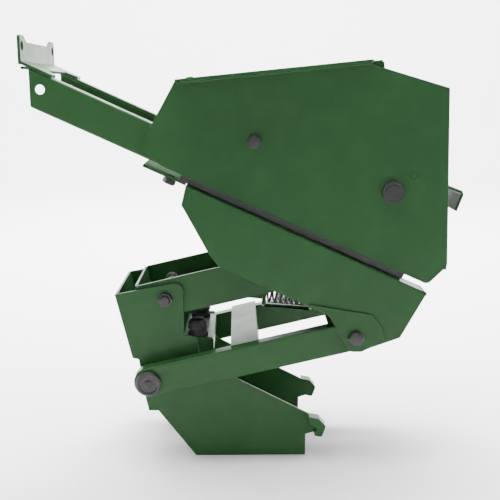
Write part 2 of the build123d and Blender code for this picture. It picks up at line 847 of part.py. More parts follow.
seat_mid = (160 - top_rear[0]) / cos(radians(flange_slope))
with BuildPart() as crossbar_bolt:
    with BuildSketch(seat_plane.offset(-sheet)):
        with Locations((seat_mid, 0)):
            RegularPolygon(8.5, 6, major_radius=False)
    extrude(amount=6)
    chamfer(crossbar_bolt.faces().sort_by(Axis.Z)[-1].edges(), 0.8)
    with BuildSketch(seat_plane.offset(-sheet)):
        with Locations((seat_mid, 0)):
            Circle(5)
    extrude(amount=-26)
save(crossbar_bolt.part, "crossbar_bolt")

with BuildPart() as stop_stud:
    stud_s = (-80 - top_rear[0]) / cos(radians(flange_slope))
    with BuildSketch(seat_plane.offset(-2 * sheet - 2)):
        with Locations((stud_s - 5, -38)):
            Circle(5)
    extrude(amount=13)
save(stop_stud.part, "stop_stud")

# ---------------------------------------------------------------- weight adjuster
with BuildPart() as cross_shaft:
    add(bar(cross_shaft_at, -housing_half + sheet + gap, housing_half - sheet - gap, cross_shaft_d))
    add(bar(cross_shaft_at, -housing_half - 1, housing_half + 1, shaft_end_d))
    for y in (-1, 1):
        add(hexagon(cross_shaft_at, y * housing_half, y * (housing_half + 7), 17))
save(cross_shaft.part, "cross_shaft")

lever_plane = Plane(
    origin=(lever_at[0], lever_at[1], box_z),
    x_dir=(cos(radians(lever_fall)), 0, -sin(radians(lever_fall))),
    z_dir=(sin(radians(lever_fall)), 0, cos(radians(lever_fall))),
)
with BuildPart() as adjuster_box:
    x0, x1 = box_x[0] - lever_at[0], box_x[1] - lever_at[0]
    y0, y1 = box_y[0] - lever_at[1], box_y[1] - lever_at[1]
    with BuildSketch(lever_plane):
        with Locations(((x0 + x1) / 2, (y0 + y1) / 2)):
            RectangleRounded(x1 - x0, y1 - y0, 4)
    extrude(amount=-box_depth)
    with BuildSketch(lever_plane.offset(-sheet)):
        with Locations(((x0 + x1) / 2, (y0 + y1) / 2)):
            Rectangle(x1 - x0 - 2 * sheet, y1 - y0 - 2 * sheet)
    extrude(amount=-box_depth, mode=Mode.SUBTRACT)
    with BuildSketch(lever_plane):
        Rectangle(52, 52)
        Circle(disc_d / 2 - 6, mode=Mode.SUBTRACT)
        Rectangle(8, 80, rotation=45, mode=Mode.SUBTRACT)
        Rectangle(80, 8, rotation=45, mode=Mode.SUBTRACT)
        with Locations((x0 + 18, 2)):
            Circle(4.5)
    extrude(amount=-sheet, mode=Mode.SUBTRACT)
    with BuildSketch(lever_plane):
        Circle(6 + fit)
    extrude(amount=-sheet, mode=Mode.SUBTRACT)
    with BuildSketch(side(housing_half)):
        with Locations(cross_shaft_at):
            Circle(cross_shaft_d / 2 + fit)
    extrude(amount=2 * housing_half, mode=Mode.SUBTRACT)
    # walls cut back above the rail
    with BuildSketch(incline.offset(rail_h + 1)):
        Rectangle(3 * housing_half, 2 * housing_half)
    extrude(amount=-box_depth, mode=Mode.SUBTRACT)
save(adjuster_box.part, "adjuster_box")

lever_length = (panel_x(473) - lever_at[0]) / cos(radians(lever_turn)) + lever_stand
lever_dir = Plane(
    origin=lever_plane.origin,
    x_dir=lever_plane.x_dir * cos(radians(lever_turn)) + lever_plane.y_dir * sin(radians(lever_turn)),
    z_dir=lever_plane.z_dir,
)
with BuildPart() as adjuster_lever:
    with BuildSketch(lever_dir.offset(gap)):
        Circle(disc_d / 2)
        with Locations((lever_length / 2, 0)):
            Rectangle(lever_length, lever_w)
        Circle(6 + fit, mode=Mode.SUBTRACT)
    extrude(amount=sheet)
    # finger pad, bent down in front of the panel
    turn_cos = cos(radians(lever_turn))
    turn_sin = sin(radians(lever_turn))
    fall_cos = cos(radians(pad_fall))
    fall_sin = sin(radians(pad_fall))
    pad = Plane(
        origin=lever_dir.from_local_coords((lever_length, 0, gap + sheet)),
        x_dir=(fall_cos * turn_cos, fall_cos * turn_sin, -fall_sin),
        z_dir=(fall_sin * turn_cos, fall_sin * turn_sin, fall_cos),
    )
    with BuildSketch(pad) as pad_shape:
        with BuildLine():
            w = lever_w / 2
            Polyline((-2, -w), (34, -w), (43, -w + 9), (43, w - 9), (34, w), (-2, w), close=True)
        make_face()
        fillet(corners(pad_shape, 43, 0, 2), 6)
    extrude(amount=-sheet)
save(adjuster_lever.part, "adjuster_lever")

with BuildPart() as lever_pivot:
    with BuildSketch(lever_plane.offset(gap + sheet)):
        Circle(11)
    extrude(amount=2.5)
    with BuildSketch(lever_plane.offset(gap + sheet)):
        Circle(6)
    extrude(amount=-18)
save(lever_pivot.part, "lever_pivot")

# ---------------------------------------------------------------- sheave and its bracket
sheave_s = incline.to_local_coords(Vector(sheave_at[0], 0, sheave_at[1])).X
sheave_n = incline.to_local_coords(Vector(sheave_at[0], 0, sheave_at[1])).Z
cheek_y = (sheave_y - hub_w / 2 - 8, sheave_y + hub_w / 2 + 4)
with BuildPart() as sheave_bracket:
    with BuildSketch(incline.offset(rail_h)):
        with Locations((87, 0)):
            Rectangle(50, 2 * (rail_half - sheet))
    extrude(amount=sheet)
    for y in cheek_y:
        upright = Plane(origin=(0, y + sheet, slide_z), x_dir=incline.x_dir, z_dir=(0, -1, 0))
        with BuildSketch(upright) as cheek:
            with BuildLine():
                Polyline(
                    (62, rail_h), (112, rail_h), (sheave_s + 14, sheave_n - 22),
                    (sheave_s + 20, sheave_n + 6), (sheave_s + 6, sheave_n + 20),
                    (sheave_s - 14, sheave_n + 16), (62, rail_h + 16), close=True,
                )
            make_face()
            with Locations((sheave_s, sheave_n)):
                Circle(axle_d / 2 + fit, mode=Mode.SUBTRACT)
        extrude(amount=sheet)
save(sheave_bracket.part, "sheave_bracket")

with BuildPart() as sheave_axle:
    add(bar(sheave_at, -housing_half - 7, cheek_y[1] + sheet + 8, axle_d))
    add(bar(sheave_at, -housing_half - 5, -housing_half, 31))
save(sheave_axle.part, "sheave_axle")

with BuildPart() as axle_ring:
    add(bar(sheave_at, cheek_y[1] + sheet, cheek_y[1] + sheet + 2, axle_d + 8, axle_d + 2 * fit))
save(axle_ring.part, "axle_ring")

with BuildPart() as sheave:
    with BuildSketch(Plane.XY) as rim_half:
        r, w = sheave_d / 2, sheave_w / 2
        with BuildLine():
            Polyline(
                (22, -w + 4), (r - 14, -w + 4), (r - 12, -w), (r, -w), (r, -w + 3), (r - 8, -3), (r - 8, 3),
                (r, w - 3), (r, w), (r - 12, w), (r - 14, w - 4), (22, w - 4), close=True,
            )
        make_face()
    revolve(axis=Axis.Y)
save(Location((sheave_at[0], sheave_y, sheave_at[1])) * sheave.part, "sheave")

with BuildPart() as sheave_hub:
    with BuildSketch(Plane.XY):
        w = sheave_w / 2 - 4
        with BuildLine():
            Polyline(
                (axle_d / 2 + fit, -hub_w / 2), (hub_d / 2 - 3, -hub_w / 2), (hub_d / 2, -hub_w / 2 + 3),
                (hub_d / 2, -w), (22, -w), (22, w), (hub_d / 2, w), (hub_d / 2, hub_w / 2 - 3),
                (hub_d / 2 - 3, hub_w / 2), (axle_d / 2 + fit, hub_w / 2), close=True,
            )
        make_face()
    revolve(axis=Axis.Y)
save(Location((sheave_at[0], sheave_y, sheave_at[1])) * sheave_hub.part, "sheave_hub")

# ---------------------------------------------------------------- latch handle
with BuildPart() as latch_handle:
    handle_plane = Plane(
        origin=(handle_at[0], latch_y, handle_at[1]),
        x_dir=(cos(radians(handle_fall)), 0, -sin(radians(handle_fall))),
        z_dir=(sin(radians(handle_fall)), 0, cos(radians(handle_fall))),
    )
    half = handle_half
    with BuildSketch(handle_plane.offset(-sheet / 2)) as tread:
        with BuildLine():
            Polyline(
                (-8, -half), (handle_reach - 16, -half), (handle_reach - 16, -half + 4),
                (handle_reach - 5, -half + 4), (handle_reach - 5, -half + 8),
                (handle_reach, -half + 8), (handle_reach, half - 8),
                (handle_reach - 5, half - 8), (handle_reach - 5, half - 4), (handle_reach - 16, half - 4),
                (handle_reach - 16, half), (-8, half), close=True,
            )
        make_face()
        with Locations((22, -30)):
            RectangleRounded(84, 74, 3, mode=Mode.SUBTRACT)
        with Locations((64, 21)):
            Circle(5.5, mode=Mode.SUBTRACT)
    extrude(amount=sheet)
    # front lip
    with BuildSketch(handle_plane.offset(sheet / 2)):
        with Locations((handle_reach - sheet / 2, 0)):
            Rectangle(sheet, 2 * (half - 8))
    extrude(amount=-lip_h)
    for reach, low, r in ((handle_reach, sheet / 2, 7), (handle_reach - sheet, -sheet / 2, 3)):
        bend = Vector(handle_plane.from_local_coords((reach, 0, low)))
        fillet(latch_handle.edges().filter_by(Axis.Y).sort_by_distance(bend)[0], r)
    # ears with the stubs they swing on
    for y0, y1 in ((latch_y - half, latch_y - half + sheet), (latch_y + half - sheet, latch_y + half)):
        with BuildSketch(side(y1)):
            with Locations(handle_at):
                Circle(11)
        extrude(amount=y1 - y0)
    add(bar(handle_at, -housing_half, latch_y - half, stub_d))
    add(bar(handle_at, latch_y + half, housing_half, stub_d))
save(latch_handle.part, "latch_handle")

# ================================================================ draw spring
coil_start, coil_end = 148.0, 214.0
wire, coil_d = 5.0, 36.0


def draw_bar_plane(y=0.0):
    return turned(pivot_c, y, draw_angle)


with BuildPart() as draw_link:
    with BuildSketch(draw_bar_plane(4)):
        Circle(13)
        with Locations((coil_start / 2, 0)):
            Rectangle(coil_start, 14)
        Circle(bolt_d / 2 + fit, mode=Mode.SUBTRACT)
    extrude(amount=8)
    along = Plane(
        origin=draw_bar_plane().from_local_coords((coil_start - 6, 0, 0)), x_dir=(0, 1, 0),
        z_dir=draw_bar_plane().x_dir,
    )
    with BuildSketch(along):
        Circle(coil_d / 2)
    extrude(amount=6)
    with BuildSketch(along.offset(coil_end - coil_start + 6)):
        Circle(coil_d / 2)
        Circle(5.0, mode=Mode.SUBTRACT)
    extrude(amount=5)
    with BuildSketch(along.offset(6)):
        with Locations((0, coil_d / 2 - 2), (0, 2 - coil_d / 2)):
            Rectangle(6, 3.6)
    extrude(amount=coil_end - coil_start)
save(draw_link.part, "draw_link")

with BuildPart() as draw_rod:
    rod_end = Plane(
        origin=draw_bar_plane().from_local_coords((coil_start + 14, 0, 0)), x_dir=(0, 1, 0),
        z_dir=draw_bar_plane().x_dir,
    )
    with BuildSketch(rod_end):
        Circle(4.5)
    extrude(amount=draw_length - coil_start - 14 - anchor_d / 2 - 6)
    with BuildSketch(rod_end):
        Circle(9)
    extrude(amount=4)
    eye_r = anchor_d / 2 + 3
    with BuildSketch(draw_bar_plane(5)):
        with Locations((draw_length, 0)):
            Circle(eye_r + 6)
            Circle(eye_r, mode=Mode.SUBTRACT)
    extrude(amount=10)
save(draw_rod.part, "draw_rod")

coil_pitch = 9.0
with BuildPart() as draw_spring:
    coil_axis = Plane(
        origin=draw_bar_plane().from_local_coords((coil_start + wire / 2 + 0.5, 0, 0)), x_dir=(0, 1, 0),
        z_dir=draw_bar_plane().x_dir,
    )
    turns = (coil_end - coil_start - wire - 1) / coil_pitch
    with BuildLine() as helix_line:
        Helix(pitch=coil_pitch, height=turns * coil_pitch, radius=11.0)
    with BuildSketch(Plane(origin=helix_line.line @ 0, z_dir=helix_line.line % 0)):
        Circle(1.8)
    sweep(path=helix_line.line, is_frenet=True)
save(coil_axis.location * draw_spring.part, "draw_spring")

with BuildPart() as stop_bolts:
    for y in (-slide_y, slide_y):
        with BuildSketch(incline.offset(-slide_gap - 2.5)):
            with Locations((slide_rear - 12, y)):
                RegularPolygon(8, 6, major_radius=False)
        extrude(amount=-7)
        with BuildSketch(incline.offset(-slide_gap - 2.5)):
            with Locations((slide_rear - 12, y)):
                Circle(5)
        extrude(amount=sheet)
save(stop_bolts.part, "stop_bolts")
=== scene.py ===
"""Looks of a tractor seat suspension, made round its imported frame.

Each operator makes one piece or one group of like pieces.  All lengths are in metres.
"""

import json
from math import cos, pi, radians, sin, tan

import bmesh
import bpy
from bpy.props import FloatProperty, FloatVectorProperty, IntProperty, PointerProperty
from mathutils import Matrix, Vector


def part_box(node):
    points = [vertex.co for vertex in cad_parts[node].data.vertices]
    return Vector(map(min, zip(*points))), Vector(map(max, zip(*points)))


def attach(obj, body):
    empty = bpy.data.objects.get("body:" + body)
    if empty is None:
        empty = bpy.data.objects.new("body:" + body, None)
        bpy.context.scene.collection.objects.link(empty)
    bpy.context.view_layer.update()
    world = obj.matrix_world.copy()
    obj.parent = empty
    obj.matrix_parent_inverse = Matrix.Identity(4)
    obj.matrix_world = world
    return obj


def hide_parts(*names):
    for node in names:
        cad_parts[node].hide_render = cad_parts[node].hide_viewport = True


bl_info = {
    "name": "Seat Suspension",
    "version": (1, 0, 0),
    "blender": (4, 5, 0),
    "location": "3D View > Sidebar > Seat Suspension",
    "description": "Makes the plates, pivots, slides, sheave and spring of a tractor seat suspension",
    "category": "Add Mesh",
}

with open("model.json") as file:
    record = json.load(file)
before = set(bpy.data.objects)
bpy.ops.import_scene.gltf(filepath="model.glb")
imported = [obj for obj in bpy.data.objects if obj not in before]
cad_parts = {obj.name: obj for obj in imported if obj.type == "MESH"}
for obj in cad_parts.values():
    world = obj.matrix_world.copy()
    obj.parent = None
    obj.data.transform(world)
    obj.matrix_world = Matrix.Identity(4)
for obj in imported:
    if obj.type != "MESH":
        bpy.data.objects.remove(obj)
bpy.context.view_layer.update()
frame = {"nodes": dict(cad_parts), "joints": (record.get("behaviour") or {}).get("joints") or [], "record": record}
JOINTS = {joint["name"]: joint for joint in frame["joints"]}

MM = 0.001
SMOOTH_LIMIT = radians(32)   # edges that turn more than this stay crisp or are rounded
MERGE = 2e-6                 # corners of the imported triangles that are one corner
FLAT_LIMIT = radians(0.5)    # triangles that turn less than this are one face
CLOSE_CORNERS = 0.0002       # corners nearer than this hinder the rounding of edges
HEX_POINTS = 48              # points round a bolt, a whole number for each corner
FACE_SHARE = 0.475           # radius of a head's flat face, as a share of its width
COIL_SPAN = (0.151, 0.211)   # draw spring, from the pivot that its link swings on
ARM_RISE = radians(13.1)     # slope of the arms at rest
PANEL_FRONT = 265.7          # front face of the panel at its top edge, in millimetres
LEAN = 8.9 / 244.2           # how far the panel comes forward for each unit down
END_FOOT = (-305.5, 567.5)   # foot of the end plate, x and z in millimetres


# ---------------------------------------------------------------- sizes and colours
class EnamelSettings(bpy.types.PropertyGroup):
    colour: FloatVectorProperty(
        name="Enamel", description="Colour of the enamel on the plates",
        subtype="COLOR", size=4, min=0.0, max=1.0, default=(0.012, 0.050, 0.014, 1.0),
    )
    faded: FloatVectorProperty(
        name="Thin enamel", description="Colour where the enamel is thin or dusty",
        subtype="COLOR", size=4, min=0.0, max=1.0, default=(0.016, 0.066, 0.016, 1.0),
    )
    roughness: FloatProperty(
        name="Roughness", description="Roughness of the enamel under its gloss",
        subtype="FACTOR", min=0.0, max=1.0, default=0.36,
    )
    orange_peel: FloatProperty(
        name="Orange peel", description="Size of the ripples in the sprayed enamel",
        unit="LENGTH", min=0.0005, max=0.02, default=0.0035,
    )
    round_off: FloatProperty(
        name="Edge rounding", description="Radius that the enamel leaves on a plate's edges",
        unit="LENGTH", min=0.0001, max=0.002, default=0.0006,
    )


class SteelSettings(bpy.types.PropertyGroup):
    black: FloatVectorProperty(
        name="Black oxide", description="Colour of the blackened shafts and bolts",
        subtype="COLOR", size=4, min=0.0, max=1.0, default=(0.006, 0.006, 0.007, 1.0),
    )
    bright: FloatVectorProperty(
        name="Bright steel", description="Colour of the turned steel",
        subtype="COLOR", size=4, min=0.0, max=1.0, default=(0.66, 0.66, 0.64, 1.0),
    )
    tool_mark: FloatProperty(
        name="Tool marks", description="Spacing of the rings that turning leaves",
        unit="LENGTH", min=0.0001, max=0.003, default=0.0006,
    )


class BoltSettings(bpy.types.PropertyGroup):
    pitch: FloatProperty(
        name="Thread pitch", description="Distance between turns of the thread",
        unit="LENGTH", min=0.0005, max=0.004, default=0.002,
    )
    thread_depth: FloatProperty(
        name="Thread depth", description="Depth of the thread",
        unit="LENGTH", min=0.0002, max=0.002, default=0.0009,
    )
    across_flats: FloatProperty(
        name="Across flats", description="Width of the hexagon heads of the pivot bolts",
        unit="LENGTH", min=0.008, max=0.04, default=0.019,
    )


class WeldSettings(bpy.types.PropertyGroup):
    bead: FloatProperty(
        name="Bead radius", description="Radius of the weld beads",
        unit="LENGTH", min=0.001, max=0.006, default=0.0022,
    )
    ripple: FloatProperty(
        name="Ripple spacing", description="Distance between the ripples of a bead",
        unit="LENGTH", min=0.0005, max=0.005, default=0.0018,
    )
    seed: IntProperty(
        name="Seed", description="Seed for the uneven size of the ripples", default=7,
    )


class SpringSettings(bpy.types.PropertyGroup):
    wire: FloatProperty(
        name="Wire", description="Thickness of the draw spring's wire",
        unit="LENGTH", min=0.001, max=0.008, default=0.0036,
    )
    radius: FloatProperty(
        name="Coil radius", description="Radius of the coil to the middle of its wire",
        unit="LENGTH", min=0.005, max=0.02, default=0.011,
    )
    turns: FloatProperty(
        name="Turns", description="Number of turns in the coil", min=2.0, max=20.0, default=7.4,
    )


class StageSettings(bpy.types.PropertyGroup):
    floor: FloatVectorProperty(
        name="Floor", description="Colour of the floor and the backdrop",
        subtype="COLOR", size=4, min=0.0, max=1.0, default=(0.92, 0.92, 0.92, 1.0),
    )
    camera_place: FloatVectorProperty(
        name="Camera place", description="Where the camera stands",
        subtype="XYZ", unit="LENGTH", size=3, default=(-0.017, -1.157, 0.541),
    )
    camera_aim: FloatVectorProperty(
        name="Camera aim", description="What the camera looks at",
        subtype="XYZ", unit="LENGTH", size=3, default=(0.0, 0.0, 0.300),
    )
    focal_length: FloatProperty(
        name="Focal length", description="Focal length of the camera", unit="CAMERA",
        min=20.0, max=200.0, default=56.0,
    )


# ---------------------------------------------------------------- mesh tools
def shade(mesh, limit=SMOOTH_LIMIT):
    """Smooth faces with crisp edges where the surface turns sharply."""
    bm = bmesh.new()
    bm.from_mesh(mesh)
    for face in bm.faces:
        face.smooth = True
    for edge in bm.edges:
        edge.smooth = len(edge.link_faces) == 2 and edge.calc_face_angle(0.0) < limit
    bm.to_mesh(mesh)
    bm.free()


def piece(name, mesh, finish, body, replaces=()):
    """Adds a mesh as a piece that rides on a body."""
    mesh.name = name
    mesh.materials.clear()
    mesh.materials.append(finish)
    obj = bpy.data.objects.new(name, mesh)
    bpy.context.scene.collection.objects.link(obj)
    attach(obj, body)
    if replaces:
        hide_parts(*replaces)
    return obj


def finish_mesh(bm, placed=None):
    """Closes a bmesh: merges its doubles, turns its faces outwards and puts it in place."""
    bmesh.ops.remove_doubles(bm, verts=bm.verts, dist=MERGE)
    bmesh.ops.recalc_face_normals(bm, faces=bm.faces)
    mesh = bpy.data.meshes.new("made")
    bm.to_mesh(mesh)
    bm.free()
    if placed is not None:
        mesh.transform(placed)
    shade(mesh)
    return mesh


def joined(meshes):
    """One mesh of several."""
    bm = bmesh.new()
    for mesh in meshes:
        bm.from_mesh(mesh)
        bpy.data.meshes.remove(mesh)
    mesh = bpy.data.meshes.new("joined")
    bm.to_mesh(mesh)
    bm.free()
    return mesh


def stacked(rings, hollow=False):
    """Closed skin through a stack of rings of as many points; a hollow one joins its ends."""
    bm = bmesh.new()
    rows = [[bm.verts.new(point) for point in ring] for ring in rings]
    count = len(rows[0])
    pairs = list(zip(rows, rows[1:])) + ([(rows[-1], rows[0])] if hollow else [])
    for low, high in pairs:
        for i in range(count):
            j = (i + 1) % count
            bm.faces.new((low[i], low[j], high[j], high[i]))
    if not hollow:
        bm.faces.new(reversed(rows[0]))
        bm.faces.new(rows[-1])
    return bm


def hexagon_ring(across, height, limit, count=HEX_POINTS):
    """Ring of a hexagon at a height, cut back to a limit from its axis."""
    ring = []
    for i in range(count):
        a = 2 * pi * i / count
        r = min(across / 2 / cos(a % (pi / 3) - pi / 6), limit)
        ring.append((r * cos(a), r * sin(a), height))
    return ring


def round_ring(radius, height, count=HEX_POINTS):
    return [
        (radius * cos(2 * pi * i / count), radius * sin(2 * pi * i / count), height)
        for i in range(count)
    ]


def head_rings(across, height, both=False):
    """Rings of a hexagon head from its seat at 0 up to its turned-off top."""
    corner, face = across / 2 / cos(pi / 6), across * FACE_SHARE
    drop = (corner - face) * tan(radians(30))
    steps = [k / 5 for k in range(6)]
    top = [hexagon_ring(across, height - drop * t, face + (corner - face) * t) for t in steps]
    if both:
        low = [hexagon_ring(across, drop * t, face + (corner - face) * t) for t in steps]
    else:
        seat = 0.4 * MM
        low = [round_ring(face, 0.0), round_ring(face, seat), hexagon_ring(across, seat, corner)]
    return low + top[::-1]


def thread_rings(radius, start, end):
    """Rings of a thread from a start height up to an end height, run out at both."""
    settings = bpy.context.scene.bolts
    rings = []
    count = max(8, int(abs(end - start) / settings.pitch * 8))
    for k in range(count + 1):
        z = start + (end - start) * k / count
        fade = min(1.0, min(k, count - k) / 4)
        ring = []
        for i in range(HEX_POINTS):
            a = 2 * pi * i / HEX_POINTS
            wave = abs(((z / settings.pitch - a / (2 * pi)) % 1.0) * 2 - 1)
            r = radius - settings.thread_depth * fade * wave
            ring.append((r * cos(a), r * sin(a), z))
        rings.append(ring)
    return rings


def hex_bolt(across, head, shank, length, thread):
    """Bolt about Z: the seat of its head at 0, the shank below and the head above."""
    tip = 1.0 * MM
    rings = [round_ring(shank - tip, -length)]
    rings += thread_rings(shank, -length + tip, -length + thread)
    rings += [round_ring(shank, -length + thread + tip), round_ring(shank, -tip)]
    rings.append(round_ring(shank, 0.0))
    return finish_mesh(stacked(rings + head_rings(across, head)))


def hex_nut(across, height, hole):
    """Nut about Z with its corners turned off on both faces."""
    rings = head_rings(across, height, both=True)
    lead = 0.8 * MM
    rings += [round_ring(hole + lead, height), round_ring(hole, height - lead)]
    rings += [round_ring(hole, lead), round_ring(hole + lead, 0.0)]
    return finish_mesh(stacked(rings, hollow=True))


def lathe(profile, segments=64):
    """Solid turned about Z from (radius, height) points that run round its section."""
    bm = bmesh.new()
    rows = []
    for i in range(segments):
        a = 2 * pi * i / segments
        rows.append([bm.verts.new((r * cos(a), r * sin(a), z)) for r, z in profile])
    count = len(profile)
    for i in range(segments):
        row, after = rows[i], rows[(i + 1) % segments]
        for k in range(count):
            m = (k + 1) % count
            if profile[k][0] < 1e-9 and profile[m][0] < 1e-9:
                continue
            bm.faces.new((row[k], row[m], after[m], after[k]))
    bmesh.ops.remove_doubles(bm, verts=bm.verts, dist=MERGE)
    bmesh.ops.dissolve_degenerate(bm, dist=MERGE, edges=bm.edges)
    return bm


def rounded(points, radius, steps=3):
    """Profile whose corners are rounded, apart from those on the axis."""
    out = []
    count = len(points)
    for i, point in enumerate(points):
        here = Vector(point)
        before, after = Vector(points[i - 1]), Vector(points[(i + 1) % count])
        if point[0] < 1e-9:
            out.append(tuple(here))
            continue
        a, b = (before - here), (after - here)
        r = min(radius, a.length * 0.45, b.length * 0.45)
        start, end = here + a.normalized() * r, here + b.normalized() * r
        for k in range(steps + 1):
            t = k / steps
            out.append(tuple((1 - t) ** 2 * start + 2 * t * (1 - t) * here + t * t * end))
    return out


def along(axis, origin, roll=0.0):
    """Matrix that lays a piece made about Z along an axis, from its origin."""
    turn = Vector(axis).to_track_quat("Z", "Y").to_matrix().to_4x4()
    return Matrix.Translation(origin) @ turn @ Matrix.Rotation(roll, 4, "Z")


def lay_normals(mesh):
    """Normals that keep flat faces flat, so that only the roundings between them bend the light."""
    bm = bmesh.new()
    bm.from_mesh(mesh)
    bm.faces.ensure_lookup_table()
    bm.faces.index_update()
    # area of the whole flat region that each face belongs to
    region = [-1] * len(bm.faces)
    areas = []
    for first in bm.faces:
        if region[first.index] >= 0:
            continue
        waiting, total = [first], 0.0
        region[first.index] = len(areas)
        while waiting:
            face = waiting.pop()
            total += face.calc_area()
            for edge in face.edges:
                if len(edge.link_faces) != 2 or edge.calc_face_angle(pi) > FLAT_LIMIT:
                    continue
                for other in edge.link_faces:
                    if region[other.index] < 0:
                        region[other.index] = len(areas)
                        waiting.append(other)
        areas.append(total)
    normals = []
    for face in bm.faces:
        for loop in face.loops:
            # faces round this corner that are reached without crossing a crisp edge
            reached, waiting = {face}, [face]
            while waiting:
                here = waiting.pop()
                for edge in loop.vert.link_edges:
                    if here not in edge.link_faces or len(edge.link_faces) != 2:
                        continue
                    if edge.calc_face_angle(pi) > SMOOTH_LIMIT:
                        continue
                    for other in edge.link_faces:
                        if other not in reached:
                            reached.add(other)
                            waiting.append(other)
            seen = {region[f.index]: f for f in reached}
            total = Vector((0.0, 0.0, 0.0))
            for key, f in seen.items():
                total += f.normal * areas[key] ** 2
            normals.append(total.normalized() if total.length > 0 else face.normal.copy())
    bm.free()
    mesh.normals_split_custom_set([tuple(n) for n in normals])


def plate_from(node, round_off, bends=(), bend_radius=0.003):
    """Copy of a CAD plate as whole faces with rounded edges, and with wider bends where told."""
    bm = bmesh.new()
    bm.from_mesh(frame["nodes"][node].data)
    bmesh.ops.remove_doubles(bm, verts=bm.verts, dist=MERGE)
    bmesh.ops.dissolve_limit(
        bm, angle_limit=FLAT_LIMIT, use_dissolve_boundaries=False, verts=bm.verts, edges=bm.edges,
    )
    # corners too close for the rounding are brought together
    bmesh.ops.remove_doubles(bm, verts=bm.verts, dist=min(round_off * 0.35, CLOSE_CORNERS))
    bmesh.ops.dissolve_degenerate(bm, dist=MERGE, edges=bm.edges)
    weights = bm.edges.layers.float.new("bevel_weight_edge")
    for edge in bm.edges:
        if len(edge.link_faces) == 2 and edge.calc_face_angle(0.0) > SMOOTH_LIMIT:
            edge[weights] = round_off / bend_radius
    for point in bends:
        place = Vector(point)
        nearest = min(
            (edge for edge in bm.edges if edge[weights] > 0),
            key=lambda e: ((e.verts[0].co + e.verts[1].co) / 2 - place).length,
        )
        nearest[weights] = 1.0
    mesh = bpy.data.meshes.new(node)
    bm.to_mesh(mesh)
    bm.free()
    carrier = bpy.data.objects.new(node, mesh)
    bpy.context.scene.collection.objects.link(carrier)
    bevel = carrier.modifiers.new("edges", "BEVEL")
    bevel.width = bend_radius
    bevel.segments = 2 if not bends else 3
    bevel.limit_method = "WEIGHT"
    bevel.use_clamp_overlap = False
    made = evaluated(carrier)
    shade(made)
    lay_normals(made)
    return made


def evaluated(carrier):
    """Plain mesh of a carrier object with its modifiers applied; the carrier is removed."""
    graph = bpy.context.evaluated_depsgraph_get()
    graph.update()
    mesh = bpy.data.meshes.new_from_object(carrier.evaluated_get(graph), depsgraph=graph)
    for modifier in list(carrier.modifiers):
        carrier.modifiers.remove(modifier)
    bpy.data.objects.remove(carrier)
    return mesh


# ---------------------------------------------------------------- geometry node trees
def new_tree(name, inputs):
    """Geometry tree with a geometry input and output and named inputs."""
    tree = bpy.data.node_groups.new(name, "GeometryNodeTree")
    tree.interface.new_socket(name="Geometry", in_out="OUTPUT", socket_type="NodeSocketGeometry")
    tree.interface.new_socket(name="Geometry", in_out="INPUT", socket_type="NodeSocketGeometry")
    for label, kind in inputs:
        tree.interface.new_socket(name=label, in_out="INPUT", socket_type=kind)
    return tree, tree.nodes.new("NodeGroupInput"), tree.nodes.new("NodeGroupOutput")


def through(tree, name, values, start=None):
    """Mesh that a tree makes from its inputs, and from a start mesh if it takes one."""
    carrier = bpy.data.objects.new(name, start or bpy.data.meshes.new(name))
    bpy.context.scene.collection.objects.link(carrier)
    modifier = carrier.modifiers.new(name, "NODES")
    modifier.node_group = tree
    sockets = {
        item.name: item.identifier for item in tree.interface.items_tree
        if item.item_type == "SOCKET" and item.in_out == "INPUT"
    }
    for label, value in values.items():
        modifier[sockets[label]] = value
    return evaluated(carrier)


def bead_tree():
    """Weld bead: overlapping ripples along every edge of the start mesh."""
    tree, given, out = new_tree("weld bead", [
        ("Bead Radius", "NodeSocketFloat"), ("Ripple Spacing", "NodeSocketFloat"),
        ("Seed", "NodeSocketInt"), ("Finish", "NodeSocketMaterial"),
    ])
    add, link = tree.nodes.new, tree.links.new
    curve = add("GeometryNodeMeshToCurve")
    points = add("GeometryNodeCurveToPoints")
    points.mode = "LENGTH"
    ripple = add("GeometryNodeMeshUVSphere")
    ripple.inputs["Segments"].default_value = 8
    ripple.inputs["Rings"].default_value = 5
    uneven = add("FunctionNodeRandomValue")
    uneven.data_type = "FLOAT_VECTOR"
    uneven.inputs["Min"].default_value = (0.90, 0.90, 0.62)
    uneven.inputs["Max"].default_value = (1.08, 1.08, 0.80)
    place = add("GeometryNodeInstanceOnPoints")
    whole = add("GeometryNodeRealizeInstances")
    smooth = add("GeometryNodeSetShadeSmooth")
    finish = add("GeometryNodeSetMaterial")
    link(given.outputs["Geometry"], curve.inputs["Mesh"])
    link(curve.outputs["Curve"], points.inputs["Curve"])
    link(given.outputs["Ripple Spacing"], points.inputs["Length"])
    link(given.outputs["Bead Radius"], ripple.inputs["Radius"])
    link(given.outputs["Seed"], uneven.inputs["Seed"])
    link(points.outputs["Points"], place.inputs["Points"])
    link(points.outputs["Rotation"], place.inputs["Rotation"])
    link(ripple.outputs["Mesh"], place.inputs["Instance"])
    link(uneven.outputs["Value"], place.inputs["Scale"])
    link(place.outputs["Instances"], whole.inputs["Geometry"])
    link(whole.outputs["Geometry"], smooth.inputs["Geometry"])
    link(smooth.outputs["Geometry"], finish.inputs["Geometry"])
    link(given.outputs["Finish"], finish.inputs["Material"])
    link(finish.outputs["Geometry"], out.inputs["Geometry"])
    return tree


